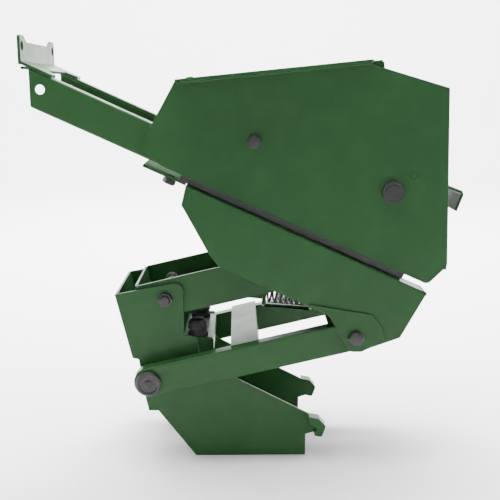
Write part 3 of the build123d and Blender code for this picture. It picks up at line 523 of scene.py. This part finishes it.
def head_tree():
    """Like parts, one on every point of the start mesh, each turned to the point's axis."""
    tree, given, out = new_tree("bolt heads", [
        ("Part", "NodeSocketObject"), ("Finish", "NodeSocketMaterial"),
    ])
    add, link = tree.nodes.new, tree.links.new
    part = add("GeometryNodeObjectInfo")
    axis = add("GeometryNodeInputNamedAttribute")
    axis.data_type = "FLOAT_VECTOR"
    axis.inputs["Name"].default_value = "axis"
    turn = add("FunctionNodeAlignRotationToVector")
    turn.axis = "Z"
    place = add("GeometryNodeInstanceOnPoints")
    whole = add("GeometryNodeRealizeInstances")
    finish = add("GeometryNodeSetMaterial")
    link(given.outputs["Part"], part.inputs["Object"])
    link(axis.outputs["Attribute"], turn.inputs["Vector"])
    link(given.outputs["Geometry"], place.inputs["Points"])
    link(part.outputs["Geometry"], place.inputs["Instance"])
    link(turn.outputs["Rotation"], place.inputs["Rotation"])
    link(place.outputs["Instances"], whole.inputs["Geometry"])
    link(whole.outputs["Geometry"], finish.inputs["Geometry"])
    link(given.outputs["Finish"], finish.inputs["Material"])
    link(finish.outputs["Geometry"], out.inputs["Geometry"])
    return tree


def coil_tree():
    """Coil spring about Z with closed ends."""
    tree, given, out = new_tree("coil spring", [
        ("Wire", "NodeSocketFloat"), ("Radius", "NodeSocketFloat"), ("Turns", "NodeSocketFloat"),
        ("Height", "NodeSocketFloat"), ("Finish", "NodeSocketMaterial"),
    ])
    add, link = tree.nodes.new, tree.links.new
    coil = add("GeometryNodeCurveSpiral")
    coil.inputs["Resolution"].default_value = 36
    wire = add("GeometryNodeCurvePrimitiveCircle")
    wire.inputs["Resolution"].default_value = 14
    half = add("ShaderNodeMath")
    half.operation = "MULTIPLY"
    half.inputs[1].default_value = 0.5
    skin = add("GeometryNodeCurveToMesh")
    skin.inputs["Fill Caps"].default_value = True
    smooth = add("GeometryNodeSetShadeSmooth")
    whole = add("GeometryNodeRealizeInstances")
    finish = add("GeometryNodeSetMaterial")
    link(given.outputs["Radius"], coil.inputs["Start Radius"])
    link(given.outputs["Radius"], coil.inputs["End Radius"])
    link(given.outputs["Turns"], coil.inputs["Rotations"])
    link(given.outputs["Height"], coil.inputs["Height"])
    link(given.outputs["Wire"], half.inputs[0])
    link(half.outputs[0], wire.inputs["Radius"])
    link(coil.outputs["Curve"], skin.inputs["Curve"])
    link(wire.outputs["Curve"], skin.inputs["Profile Curve"])
    link(skin.outputs["Mesh"], smooth.inputs["Geometry"])
    link(smooth.outputs["Geometry"], whole.inputs["Geometry"])
    link(whole.outputs["Geometry"], finish.inputs["Geometry"])
    link(given.outputs["Finish"], finish.inputs["Material"])
    link(finish.outputs["Geometry"], out.inputs["Geometry"])
    return tree


# ---------------------------------------------------------------- finishes
class Finish:
    """Node material under construction: shader, coordinates and the common textures."""

    def __init__(self, name):
        self.material = bpy.data.materials.new(name)
        self.material.use_nodes = True
        self.tree = self.material.node_tree
        self.shader = self.tree.nodes["Principled BSDF"]
        self.place = self.tree.nodes.new("ShaderNodeTexCoord").outputs["Object"]

    def node(self, kind, **inputs):
        made = self.tree.nodes.new(kind)
        for label, value in inputs.items():
            made.inputs[label.replace("_", " ")].default_value = value
        return made

    def link(self, source, target):
        self.tree.links.new(source, target)

    def noise(self, size, detail=2.0, stretch=None):
        """Cloudy texture whose blotches are about a size across, in metres."""
        texture = self.node("ShaderNodeTexNoise", Scale=1.0 / size, Detail=detail)
        if stretch:
            mapping = self.node("ShaderNodeMapping", Scale=stretch)
            self.link(self.place, mapping.inputs["Vector"])
            self.link(mapping.outputs["Vector"], texture.inputs["Vector"])
        else:
            self.link(self.place, texture.inputs["Vector"])
        return texture.outputs["Fac"]

    def spread(self, source, low, high, from_low=0.3, from_high=0.7):
        """Source moved to between two values."""
        node = self.node(
            "ShaderNodeMapRange", From_Min=from_low, From_Max=from_high, To_Min=low, To_Max=high,
        )
        self.link(source, node.inputs["Value"])
        return node.outputs["Result"]

    def mixed(self, share, first, second):
        """Colour between two, each a colour or a socket."""
        node = self.tree.nodes.new("ShaderNodeMix")
        node.data_type = "RGBA"
        self.link(share, node.inputs["Factor"])
        for value, socket in ((first, node.inputs["A"]), (second, node.inputs["B"])):
            target = next(
                s for s in node.inputs if s.name == socket.name and s.type == "RGBA"
            )
            if isinstance(value, bpy.types.NodeSocket):
                self.link(value, target)
            else:
                target.default_value = value
        return next(s for s in node.outputs if s.type == "RGBA")

    def bump(self, height, distance, strength=1.0, after=None):
        node = self.node("ShaderNodeBump", Strength=strength, Distance=distance)
        self.link(height, node.inputs["Height"])
        if after:
            self.link(after, node.inputs["Normal"])
        return node.outputs["Normal"]

    def set(self, **values):
        for label, value in values.items():
            self.shader.inputs[label.replace("_", " ")].default_value = value


def green_enamel():
    """Sprayed enamel: a glossy skin with orange peel, thin in cloudy patches, faintly dusty."""
    settings = bpy.context.scene.enamel
    paint = Finish("green_enamel")
    cloud = paint.spread(paint.noise(0.16, 3.0), 0.0, 0.55)
    body = paint.mixed(cloud, tuple(settings.colour), tuple(settings.faded))
    dust = paint.spread(paint.noise(0.03, 6.0), 0.0, 0.16, 0.48, 0.75)
    body = paint.mixed(dust, body, (0.032, 0.085, 0.032, 1.0))
    paint.link(body, paint.shader.inputs["Base Color"])
    rough = paint.spread(
        paint.noise(0.045, 5.0), settings.roughness - 0.06, settings.roughness + 0.08,
    )
    paint.link(rough, paint.shader.inputs["Roughness"])
    peel = paint.bump(paint.noise(settings.orange_peel, 1.0), 0.00012, 0.5)
    waves = paint.bump(paint.noise(0.05, 1.0), 0.0006, 0.35, after=peel)
    paint.link(waves, paint.shader.inputs["Normal"])
    paint.set(Coat_Weight=0.08, Coat_Roughness=0.14, IOR=1.45, Specular_IOR_Level=0.16)
    return paint.material


def black_oxide():
    """Blackened steel with an oily sheen."""
    settings = bpy.context.scene.steel
    steel = Finish("black_oxide")
    cloud = steel.spread(steel.noise(0.02, 5.0), 0.0, 1.0)
    base = tuple(settings.black)
    rusty = (0.014, 0.012, 0.011, 1.0)
    steel.link(steel.mixed(cloud, base, rusty), steel.shader.inputs["Base Color"])
    steel.link(steel.spread(steel.noise(0.008, 4.0), 0.30, 0.48), steel.shader.inputs["Roughness"])
    steel.link(steel.bump(steel.noise(0.0012, 2.0), 0.00008, 0.6), steel.shader.inputs["Normal"])
    steel.set(Metallic=0.0, Specular_IOR_Level=0.4, Coat_Weight=0.1, Coat_Roughness=0.3)
    return steel.material


def turned_steel(name, centre, axis="Y"):
    """Bright steel with the fine rings of turning about an axis through a centre."""
    settings = bpy.context.scene.steel
    steel = Finish(name)
    shift = steel.node("ShaderNodeMapping", Location=(-centre[0], -centre[1], -centre[2]))
    steel.link(steel.place, shift.inputs["Vector"])
    rings = steel.tree.nodes.new("ShaderNodeTexWave")
    rings.wave_type = "RINGS"
    rings.rings_direction = axis
    rings.inputs["Scale"].default_value = 0.05 / settings.tool_mark
    rings.inputs["Distortion"].default_value = 0.6
    rings.inputs["Detail"].default_value = 2.0
    rings.inputs["Detail Scale"].default_value = 0.4
    steel.link(shift.outputs["Vector"], rings.inputs["Vector"])
    cloud = steel.spread(steel.noise(0.015, 4.0), 0.0, 0.6)
    dull = (0.40, 0.39, 0.37, 1.0)
    steel.link(steel.mixed(cloud, tuple(settings.bright), dull), steel.shader.inputs["Base Color"])
    steel.link(steel.spread(rings.outputs["Fac"], 0.20, 0.34, 0.0, 1.0), steel.shader.inputs["Roughness"])
    steel.link(steel.bump(rings.outputs["Fac"], 0.00003, 0.5), steel.shader.inputs["Normal"])
    steel.set(Metallic=1.0)
    return steel.material


def bump_rubber():
    """Moulded rubber, dull, with a fine grain."""
    rubber = Finish("bump_rubber")
    cloud = rubber.spread(rubber.noise(0.012, 4.0), 0.0, 1.0)
    colour = rubber.mixed(cloud, (0.012, 0.012, 0.013, 1.0), (0.035, 0.034, 0.033, 1.0))
    rubber.link(colour, rubber.shader.inputs["Base Color"])
    rubber.link(rubber.spread(rubber.noise(0.005, 3.0), 0.62, 0.85), rubber.shader.inputs["Roughness"])
    rubber.link(rubber.bump(rubber.noise(0.0009, 2.0), 0.00015, 0.7), rubber.shader.inputs["Normal"])
    rubber.set(Specular_IOR_Level=0.3)
    return rubber.material


FINISHES = {}


def finish_named(name):
    """Finish by name, made once."""
    if name not in FINISHES:
        sheave_at = JOINTS["sheave_spin"]["pos_m"]
        FINISHES[name] = {
            "green_enamel": green_enamel,
            "black_oxide": black_oxide,
            "bump_rubber": bump_rubber,
            "turned_sheave": lambda: turned_steel("turned_sheave", sheave_at),
            "turned_rod": lambda: turned_steel("turned_rod", JOINTS["upper_swing"]["pos_m"]),
        }[name]()
    return FINISHES[name]


BODY_OF = {
    node: body for body, nodes in frame["record"]["behaviour"]["bodies"].items() for node in nodes
}


def dress(node, finish, round_off, bends=()):
    """Stands a finely edged copy in for a CAD plate."""
    mesh = plate_from(node, round_off, bends)
    return piece(f"{node}_skin", mesh, finish_named(finish), BODY_OF[node], [node])


# ---------------------------------------------------------------- operators
PLATES = [
    "base_frame", "lower_arm_left", "lower_arm_right", "arm_cross_plate", "upper_arm",
    "carriage_left", "carriage_right", "pivot_doublers", "slide_stop_plate",
    "housing_left", "housing_right", "front_panel", "frame_rails", "rear_crossbar",
    "front_crossbar", "adjuster_box", "adjuster_lever", "lever_pivot", "stop_stud",
    "sheave_bracket", "latch_handle", "draw_link",
]
BLACK_BARS = [
    "lower_pivot_shaft", "shaft_sleeves", "upper_pivot_rod", "front_cross_tube", "sheave_axle",
    "lower_slide_left", "lower_slide_right", "upper_slide_left", "upper_slide_right",
]
BRIGHT_BARS = [
    "spring_anchor_rod", "upper_front_pins", "draw_rod", "arm_bushes", "upper_arm_bushes",
]
CARRIAGE_TOP = (0.0784, 0.1116, 0.3363)   # middle of the bend along the carriage's outer plate
BENDS = {
    "carriage_left": [CARRIAGE_TOP],
    "carriage_right": [(CARRIAGE_TOP[0], -CARRIAGE_TOP[1], CARRIAGE_TOP[2])],
}
SEAT_NORMAL = Vector(
    next(m for m in frame["record"]["mounts"] if m["name"] == "seat_face")["axis"]
)
SLIDE_NORMAL = Vector((
    JOINTS["housing_slide"]["axis"][2], 0.0, -JOINTS["housing_slide"]["axis"][0],
))


def sided(node, at):
    """The two outer ends of a node whose like solids face -Y and +Y at a pivot, with their axes."""
    low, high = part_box(node)
    return [((at[0], low.y, at[2]), (0, -1, 0)), ((at[0], high.y, at[2]), (0, 1, 0))]


def like_parts(node, part, places):
    """Puts a copy of a part on every place of a node, given as points with their axes."""
    tree = bpy.data.node_groups.get("bolt heads") or head_tree()
    start = bpy.data.meshes.new(node)
    start.from_pydata([tuple(point) for point, _ in places], [], [])
    axis = start.attributes.new("axis", "FLOAT_VECTOR", "POINT")
    for entry, (_, direction) in zip(axis.data, places):
        entry.vector = direction
    sample = bpy.data.objects.new(node + "_sample", part)
    bpy.context.scene.collection.objects.link(sample)
    mesh = through(tree, node, {"Part": sample, "Finish": finish_named("black_oxide")}, start)
    bpy.data.objects.remove(sample)
    for attribute in [a for a in mesh.attributes if a.name == "axis"]:
        mesh.attributes.remove(attribute)
    shade(mesh)
    return piece(
        f"{node}_set", mesh, finish_named("black_oxide"), BODY_OF[node], [node],
    )


class SEATSUSP_OT_plates(bpy.types.Operator):
    """Dress the folded plates in enamel with rounded edges"""

    bl_idname = "seatsusp.plates"
    bl_label = "Enamelled plates"

    def execute(self, context):
        round_off = context.scene.enamel.round_off
        for node in PLATES:
            dress(node, "green_enamel", round_off, BENDS.get(node, ()))
        return {"FINISHED"}


class SEATSUSP_OT_black_steel(bpy.types.Operator):
    """Give the shafts, tubes and slides their blackened finish"""

    bl_idname = "seatsusp.black_steel"
    bl_label = "Blackened steel"

    def execute(self, context):
        for node in BLACK_BARS:
            dress(node, "black_oxide", 0.4 * MM)
        return {"FINISHED"}


class SEATSUSP_OT_bright_steel(bpy.types.Operator):
    """Give the pins, bushes and rods their turned finish"""

    bl_idname = "seatsusp.bright_steel"
    bl_label = "Bright pins and bushes"

    def execute(self, context):
        for node in BRIGHT_BARS:
            dress(node, "turned_rod", 0.4 * MM)
        return {"FINISHED"}


class SEATSUSP_OT_bolts(bpy.types.Operator):
    """Fit threaded bolts and nuts with turned-off hexagons"""

    bl_idname = "seatsusp.bolts"
    bl_label = "Bolts and nuts"

    def execute(self, context):
        across = context.scene.bolts.across_flats
        head = 8 * MM
        shank = 6.35 * MM
        low_pivot = JOINTS["carriage_level"]["pos_m"]
        high_pivot = JOINTS["upper_swing"]["pos_m"]
        ends = [
            (Vector(point) - Vector(axis) * head, axis)
            for point, axis in sided("front_pivot_bolts", low_pivot)
        ]
        front_length, front_thread = 57.6 * MM, 24 * MM
        like_parts(
            "front_pivot_bolts", hex_bolt(across, head, shank, front_length, front_thread), ends,
        )
        nut_bore = shank + 0.05 * MM
        nut = hex_nut(across, head, nut_bore)
        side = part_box("front_pivot_nuts")[1].y
        like_parts("front_pivot_nuts", nut, [
            ((low_pivot[0], -side + head, low_pivot[2]), (0, -1, 0)),
            ((low_pivot[0], side - head, low_pivot[2]), (0, 1, 0)),
        ])
        nut = hex_nut(across, head, nut_bore)
        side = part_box("upper_pivot_nuts")[1].y
        like_parts("upper_pivot_nuts", nut, [
            ((high_pivot[0], -side + head, high_pivot[2]), (0, -1, 0)),
            ((high_pivot[0], side - head, high_pivot[2]), (0, 1, 0)),
        ])
        low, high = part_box("wall_bolt")
        middle = (low + high) / 2
        seat = high.x - head
        washer_r, washer_h, washer_round = 14 * MM, 2.5 * MM, 0.4 * MM
        bolt = hex_bolt(across, head, shank, seat - low.x, 14 * MM)
        washer = finish_mesh(lathe(rounded(
            [(shank, -washer_h), (washer_r, -washer_h), (washer_r, 0), (shank, 0)], washer_round,
        )))
        back_nut = hex_nut(across, 10 * MM, shank)
        back_nut.transform(Matrix.Translation((0, 0, low.x - seat + 4 * MM)))
        like_parts("wall_bolt", joined([bolt, washer, back_nut]), [
            ((seat, middle.y, middle.z), (1, 0, 0)),
        ])
        # front crossbar and slide stops
        low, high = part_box("crossbar_bolt")
        top = SEAT_NORMAL * 6 * MM
        centre = Vector(((low.x + high.x) / 2, (low.y + high.y) / 2, (low.z + high.z) / 2))
        base = centre + SEAT_NORMAL * 10 * MM
        like_parts("crossbar_bolt", hex_bolt(17 * MM, top.length, 5 * MM, 26 * MM, 18 * MM), [
            (base, SEAT_NORMAL),
        ])
        low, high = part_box("stop_bolts")
        centre_x, centre_z = (low.x + high.x) / 2, (low.z + high.z) / 2
        reach = (high.y - low.y) / 2 - 8 * MM / cos(pi / 6)
        under = -SLIDE_NORMAL
        seat_at = Vector((centre_x, 0, centre_z)) - under * 1.5 * MM
        like_parts("stop_bolts", hex_bolt(16 * MM, 7 * MM, 5 * MM, 4 * MM, 2.5 * MM), [
            (seat_at + Vector((0, -reach, 0)), under), (seat_at + Vector((0, reach, 0)), under),
        ])
        return {"FINISHED"}


class SEATSUSP_OT_cross_shaft(bpy.types.Operator):
    """Make the cross shaft of the weight adjuster with its bolted ends"""

    bl_idname = "seatsusp.cross_shaft"
    bl_label = "Adjuster cross shaft"

    def execute(self, context):
        low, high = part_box("cross_shaft")
        end = high.y
        head, inside = 7 * MM, 4.3 * MM
        step = end - head - inside
        profile = [
            (0, -step), (8 * MM, -step), (8 * MM, step), (0, step),
        ]
        bar = finish_mesh(lathe(rounded(profile, 0.8 * MM), 40))
        bolt = hex_bolt(17 * MM, head, 5 * MM, inside + 10 * MM, 6 * MM)
        other = bolt.copy()
        bolt.transform(Matrix.Translation((0, 0, end - head)))
        other.transform(Matrix.Translation((0, 0, head - end)) @ Matrix.Rotation(pi, 4, "X"))
        mesh = joined([bar, bolt, other])
        centre = (low + high) / 2
        mesh.transform(along((0, 1, 0), (centre.x, 0, centre.z)))
        shade(mesh)
        piece("cross_shaft_set", mesh, finish_named("black_oxide"), "housing", ["cross_shaft"])
        return {"FINISHED"}


class SEATSUSP_OT_shaft_caps(bpy.types.Operator):
    """Press the domed caps on the ends of the lower shaft"""

    bl_idname = "seatsusp.shaft_caps"
    bl_label = "Shaft caps"

    def execute(self, context):
        low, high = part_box("shaft_caps")
        at = JOINTS["arm_swing"]["pos_m"]
        depth, rim, bore = 7 * MM, (high.x - low.x) / 2, 12.5 * MM
        profile = [
            (bore, 0), (rim, 0), (rim, depth - 1.4 * MM), (rim - 1.6 * MM, depth),
            (rim - 4.2 * MM, depth), (rim - 5.4 * MM, depth - 1.3 * MM),
            (6.5 * MM, depth - 1.1 * MM), (4.5 * MM, depth - 0.3 * MM), (0, depth - 0.1 * MM),
            (0, depth - 1.8 * MM), (bore, depth - 1.9 * MM),
        ]
        made = []
        for side in (-1, 1):
            cap = finish_mesh(lathe(rounded(profile, 0.7 * MM), 72))
            cap.transform(along((0, side, 0), (at[0], side * (high.y - depth), at[2])))
            made.append(cap)
        mesh = joined(made)
        shade(mesh)
        piece("shaft_caps_pair", mesh, finish_named("black_oxide"), "base", ["shaft_caps"])
        return {"FINISHED"}


class SEATSUSP_OT_bump_stops(bpy.types.Operator):
    """Mould the rubber bump stops with their grooves"""

    bl_idname = "seatsusp.bump_stops"
    bl_label = "Bump stops"

    def execute(self, context):
        low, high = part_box("bump_stops")
        radius, height = (high.x - low.x) / 2, high.z - low.z
        groove = 1.6 * MM
        profile = [
            (0, 0), (radius, 0), (radius, 0.22 * height), (radius - groove, 0.28 * height),
            (radius - groove, 0.36 * height), (radius, 0.42 * height), (radius, 0.55 * height),
            (radius - groove, 0.61 * height), (radius - groove, 0.67 * height),
            (radius - 0.8 * MM, 0.72 * height), (radius * 0.72, 0.97 * height), (0, height),
        ]
        made = []
        for y in (low.y + radius, high.y - radius):
            stop = finish_mesh(lathe(rounded(profile, 1.6 * MM), 56))
            stop.transform(Matrix.Translation(((low.x + high.x) / 2, y, low.z)))
            made.append(stop)
        mesh = joined(made)
        shade(mesh)
        piece("bump_stops_pair", mesh, finish_named("bump_rubber"), "base", ["bump_stops"])
        return {"FINISHED"}


class SEATSUSP_OT_sheave(bpy.types.Operator):
    """Turn the sheave, its hub and the ring that keeps its axle"""

    bl_idname = "seatsusp.sheave"
    bl_label = "Sheave"

    def execute(self, context):
        at = JOINTS["sheave_spin"]["pos_m"]
        low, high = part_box("sheave")
        r, w = (high.x - low.x) / 2, (high.y - low.y) / 2
        wall, web, hole = 3 * MM, w - 4 * MM, 22 * MM
        profile = [
            (hole, -web), (r - 26 * MM, -web), (r - 24 * MM, -web + 1 * MM), (r - 16 * MM, -web + 1 * MM),
            (r - 12 * MM, -w), (r, -w), (r, -w + wall), (r - 8 * MM, -3 * MM), (r - 8.6 * MM, 0),
            (r - 8 * MM, 3 * MM), (r, w - wall), (r, w), (r - 12 * MM, w), (r - 16 * MM, web - 1 * MM),
            (r - 24 * MM, web - 1 * MM), (r - 26 * MM, web), (hole, web),
        ]
        rim = finish_mesh(lathe(rounded(profile, 0.9 * MM), 128), along((0, 1, 0), at))
        piece("sheave_rim", rim, finish_named("turned_sheave"), "sheave", ["sheave"])
        low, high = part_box("sheave_hub")
        r, w = (high.x - low.x) / 2, (high.y - low.y) / 2
        bore = 10.05 * MM
        profile = [
            (bore, -w), (bore + 5 * MM, -w), (bore + 6 * MM, -w + 1.5 * MM), (r - 7 * MM, -w + 1.5 * MM),
            (r - 6 * MM, -w), (r - 3 * MM, -w), (r, -w + 3 * MM), (r, -web), (hole, -web),
            (hole, web), (r, web), (r, w - 3 * MM), (r - 3 * MM, w), (r - 6 * MM, w),
            (r - 7 * MM, w - 1.5 * MM), (bore + 6 * MM, w - 1.5 * MM), (bore + 5 * MM, w), (bore, w),
        ]
        hub = finish_mesh(lathe(rounded(profile, 0.6 * MM), 80), along((0, 1, 0), at))
        piece("sheave_hub_turned", hub, finish_named("black_oxide"), "sheave", ["sheave_hub"])
        # spring ring with two lugs, sprung into the axle's groove
        low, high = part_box("axle_ring")
        outer, thick = (high.x - low.x) / 2, high.y - low.y
        inner, mouth, steps = outer - 4 * MM, radians(24), 40
        outline = []
        for k in range(steps + 1):
            a = mouth / 2 + (2 * pi - mouth) * k / steps
            lug = min(k, steps - k) < 3
            edge = outer if lug else outer - 1.2 * MM
            outline.append((edge * cos(a), edge * sin(a)))
        for k in range(steps, -1, -1):
            a = mouth / 2 + (2 * pi - mouth) * k / steps
            outline.append((inner * cos(a), inner * sin(a)))
        rings = [[(x, y, z) for x, y in outline] for z in (0.0, thick)]
        ring = finish_mesh(stacked(rings), along((0, 1, 0), (at[0], low.y, at[2]), roll=radians(60)))
        piece("axle_ring_sprung", ring, finish_named("turned_rod"), "housing", ["axle_ring"])
        return {"FINISHED"}


class SEATSUSP_OT_draw_spring(bpy.types.Operator):
    """Wind the draw spring"""

    bl_idname = "seatsusp.draw_spring"
    bl_label = "Draw spring"

    def execute(self, context):
        settings = context.scene.spring
        pivot = Vector(JOINTS["draw_swing"]["pos_m"])
        axis = Vector(JOINTS["draw_stretch"]["axis"])
        start, end = COIL_SPAN
        values = {
            "Wire": settings.wire, "Radius": settings.radius, "Turns": settings.turns,
            "Height": end - start, "Finish": finish_named("black_oxide"),
        }
        mesh = through(coil_tree(), "draw_spring", values)
        mesh.transform(along(axis, pivot + axis * start))
        piece(
            "draw_spring_coil", mesh, finish_named("black_oxide"), "draw_link",
            ["draw_spring"],
        )
        return {"FINISHED"}


def weld(name, body, runs, radius):
    """Beads along runs of points, in millimetres, that ride on a body."""
    settings = bpy.context.scene.welds
    points, edges = [], []
    for run in runs:
        first = len(points)
        points += [tuple(v * MM for v in point) for point in run]
        edges += [(first + k, first + k + 1) for k in range(len(run) - 1)]
    start = bpy.data.meshes.new(name)
    start.from_pydata(points, edges, [])
    tree = bpy.data.node_groups.get("weld bead") or bead_tree()
    values = {
        "Bead Radius": radius, "Ripple Spacing": settings.ripple, "Seed": settings.seed,
        "Finish": finish_named("green_enamel"),
    }
    mesh = through(tree, name, values, start)
    return piece(name, mesh, finish_named("green_enamel"), body)


def both_sides(runs):
    """Runs and their mirror images across the middle."""
    return [*runs, *[[(x, -y, z) for x, y, z in run] for run in runs]]


class SEATSUSP_OT_welds(bpy.types.Operator):
    """Lay the weld beads that join the plates"""

    bl_idname = "seatsusp.welds"
    bl_label = "Weld beads"

    def execute(self, context):
        bead = context.scene.welds.bead
        seam_y, panel_top, behind, stitch = 96.0, 541.2, 5.0, 44

        def corner(z):
            return (PANEL_FRONT + (panel_top - z) * LEAN - behind, seam_y, z)

        # front panel in the corners of the side plates
        housing = [[corner(z), corner(z - stitch)] for z in (536, 462, 388, 344)]
        # side plates on the rails, at their rear edges
        housing.append([(-146.5, 98.2, 461.0), (-135.5, 98.2, 490.0)])
        # crossbars on the side plates
        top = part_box("rear_crossbar")[1].z / MM
        housing.append([(-77.0, seam_y, top - 2.5), (-38.0, seam_y, top + 1.0)])
        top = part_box("front_crossbar")[1].z / MM
        housing.append([(145.0, seam_y, top - 2.5), (174.0, seam_y, top + 0.4)])
        runs = both_sides(housing)
        # foot of the end plate
        foot_x, foot_z = END_FOOT
        bead_run = 46.0
        runs += [[(foot_x, y, foot_z), (foot_x, y + bead_run, foot_z)] for y in (-88.0, -23.0, 42.0)]
        weld("housing_welds", "housing", runs, bead)
        # cross plate on the arms
        axis = Vector(JOINTS["arm_swing"]["pos_m"]) / MM
        c, s = cos(ARM_RISE), sin(ARM_RISE)

        def on_arm(u, v, y):
            return (axis.x + u * c - v * s, y, axis.z + u * s + v * c)

        arm = [[on_arm(127.5, 22.2, 104.9), on_arm(164.5, 22.2, 104.9)]]
        weld("arm_welds", "lower_arms", both_sides(arm), bead)
        # walls, shelf and feet on the side plates of the base
        side_y = 68.4
        base = [
            [(-50.0, side_y, 5.0), (-50.0, side_y, 50.0)],
            [(-50.0, side_y, 72.0), (-50.0, side_y, 116.0)],
            [(-94.0, side_y, 182.6), (-58.0, side_y, 182.6)],
            [(-40.0, side_y, 4.6), (20.0, side_y, 4.6)],
            [(-190.6, side_y, 244.0), (-181.0, side_y, 204.0)],
            [(-177.0, side_y, 187.0), (-170.5, side_y, 160.0)],
        ]
        weld("base_welds", "base", both_sides(base), bead)
        return {"FINISHED"}


class SEATSUSP_OT_stage(bpy.types.Operator):
    """Lay the floor and set the lights and the camera"""

    bl_idname = "seatsusp.stage"
    bl_label = "Stage"

    def execute(self, context):
        settings = context.scene.stage_set
        scene = context.scene
        # round floor that rises into a backdrop on every side
        floor_low, flat, rise, steps, wall, around = -0.0005, 3.2, 1.2, 12, 2.6, 96
        profile = [(flat * k / 4, floor_low) for k in range(1, 5)]
        profile += [
            (flat + rise * sin(pi / 2 * k / steps), floor_low + rise * (1 - cos(pi / 2 * k / steps)))
            for k in range(1, steps + 1)
        ]
        profile.append((flat + rise, wall))
        bm = bmesh.new()
        rings = [
            [
                bm.verts.new((r * cos(2 * pi * k / around), r * sin(2 * pi * k / around), z))
                for k in range(around)
            ]
            for r, z in profile
        ]
        bm.faces.new(rings[0])
        for low, high in zip(rings, rings[1:]):
            for k in range(around):
                bm.faces.new((low[k - 1], high[k - 1], high[k], low[k]))
        for face in bm.faces:
            face.smooth = True
        mesh = bpy.data.meshes.new("floor")
        bm.to_mesh(mesh)
        bm.free()
        floor = bpy.data.objects.new("floor", mesh)
        scene.collection.objects.link(floor)
        paper = Finish("paper")
        pale = paper.mixed(
            paper.spread(paper.noise(0.4, 2.0), 0.0, 1.0), tuple(settings.floor),
            tuple(0.985 * v for v in settings.floor[:3]) + (1.0,),
        )
        paper.link(pale, paper.shader.inputs["Base Color"])
        paper.set(Roughness=0.9, Specular_IOR_Level=0.1)
        mesh.materials.append(paper.material)

        def lamp(name, place, aim, size, power):
            data = bpy.data.lights.new(name, "AREA")
            data.shape = "RECTANGLE"
            data.size, data.size_y = size
            data.energy = power
            obj = bpy.data.objects.new(name, data)
            scene.collection.objects.link(obj)
            obj.location = place
            obj.rotation_euler = (Vector(aim) - Vector(place)).to_track_quat("-Z", "Y").to_euler()

        lamp("overhead", (-0.1, 0.1, 2.1), (0.0, 0.0, 0.2), (1.8, 1.2), 140.0)
        lamp("front_fill", (-0.4, -2.6, 0.5), (0.0, 0.0, 0.1), (2.6, 0.9), 1.2)
        lamp("right_fill", (2.4, -0.8, 0.9), (0.0, 0.0, 0.3), (1.4, 1.4), 6.0)
        lamp("back_wash", (0.0, 1.3, 2.6), (0.0, 3.4, 0.3), (3.0, 1.0), 620.0)
        world = bpy.data.worlds.new("studio")
        scene.world = world
        world.use_nodes = True
        back = world.node_tree.nodes["Background"]
        back.inputs["Color"].default_value = (1.0, 1.0, 1.0, 1.0)
        back.inputs["Strength"].default_value = 0.24
        camera = bpy.data.objects.new("camera", bpy.data.cameras.new("camera"))
        scene.collection.objects.link(camera)
        camera.data.lens = settings.focal_length
        camera.data.sensor_width = 36.0
        camera.location = settings.camera_place
        aim = Vector(settings.camera_aim) - Vector(settings.camera_place)
        camera.rotation_euler = aim.to_track_quat("-Z", "Y").to_euler()
        camera.data.clip_start, camera.data.clip_end = 0.05, 50.0
        scene.camera = camera
        return {"FINISHED"}


class SEATSUSP_PT_panel(bpy.types.Panel):
    """Lists the pieces that can be made"""

    bl_idname = "SEATSUSP_PT_panel"
    bl_label = "Seat Suspension"
    bl_space_type = "VIEW_3D"
    bl_region_type = "UI"
    bl_category = "Seat Suspension"

    def draw(self, context):
        for operator in OPERATORS:
            self.layout.operator(operator.bl_idname)


SETTINGS = [
    ("enamel", EnamelSettings), ("steel", SteelSettings), ("bolts", BoltSettings),
    ("welds", WeldSettings), ("spring", SpringSettings), ("stage_set", StageSettings),
]
OPERATORS = [
    SEATSUSP_OT_plates, SEATSUSP_OT_black_steel, SEATSUSP_OT_bright_steel, SEATSUSP_OT_bolts,
    SEATSUSP_OT_cross_shaft, SEATSUSP_OT_shaft_caps, SEATSUSP_OT_bump_stops, SEATSUSP_OT_sheave,
    SEATSUSP_OT_draw_spring, SEATSUSP_OT_welds, SEATSUSP_OT_stage,
]


def register():
    for name, group in SETTINGS:
        bpy.utils.register_class(group)
        setattr(bpy.types.Scene, name, PointerProperty(type=group))
    for made in [*OPERATORS, SEATSUSP_PT_panel]:
        bpy.utils.register_class(made)


def unregister():
    for made in reversed([*OPERATORS, SEATSUSP_PT_panel]):
        bpy.utils.unregister_class(made)
    for name, group in reversed(SETTINGS):
        delattr(bpy.types.Scene, name)
        bpy.utils.unregister_class(group)


def main():
    register()
    for operator in OPERATORS:
        group, name = operator.bl_idname.split(".")
        getattr(getattr(bpy.ops, group), name)()


if __name__ == "__main__":
    main()
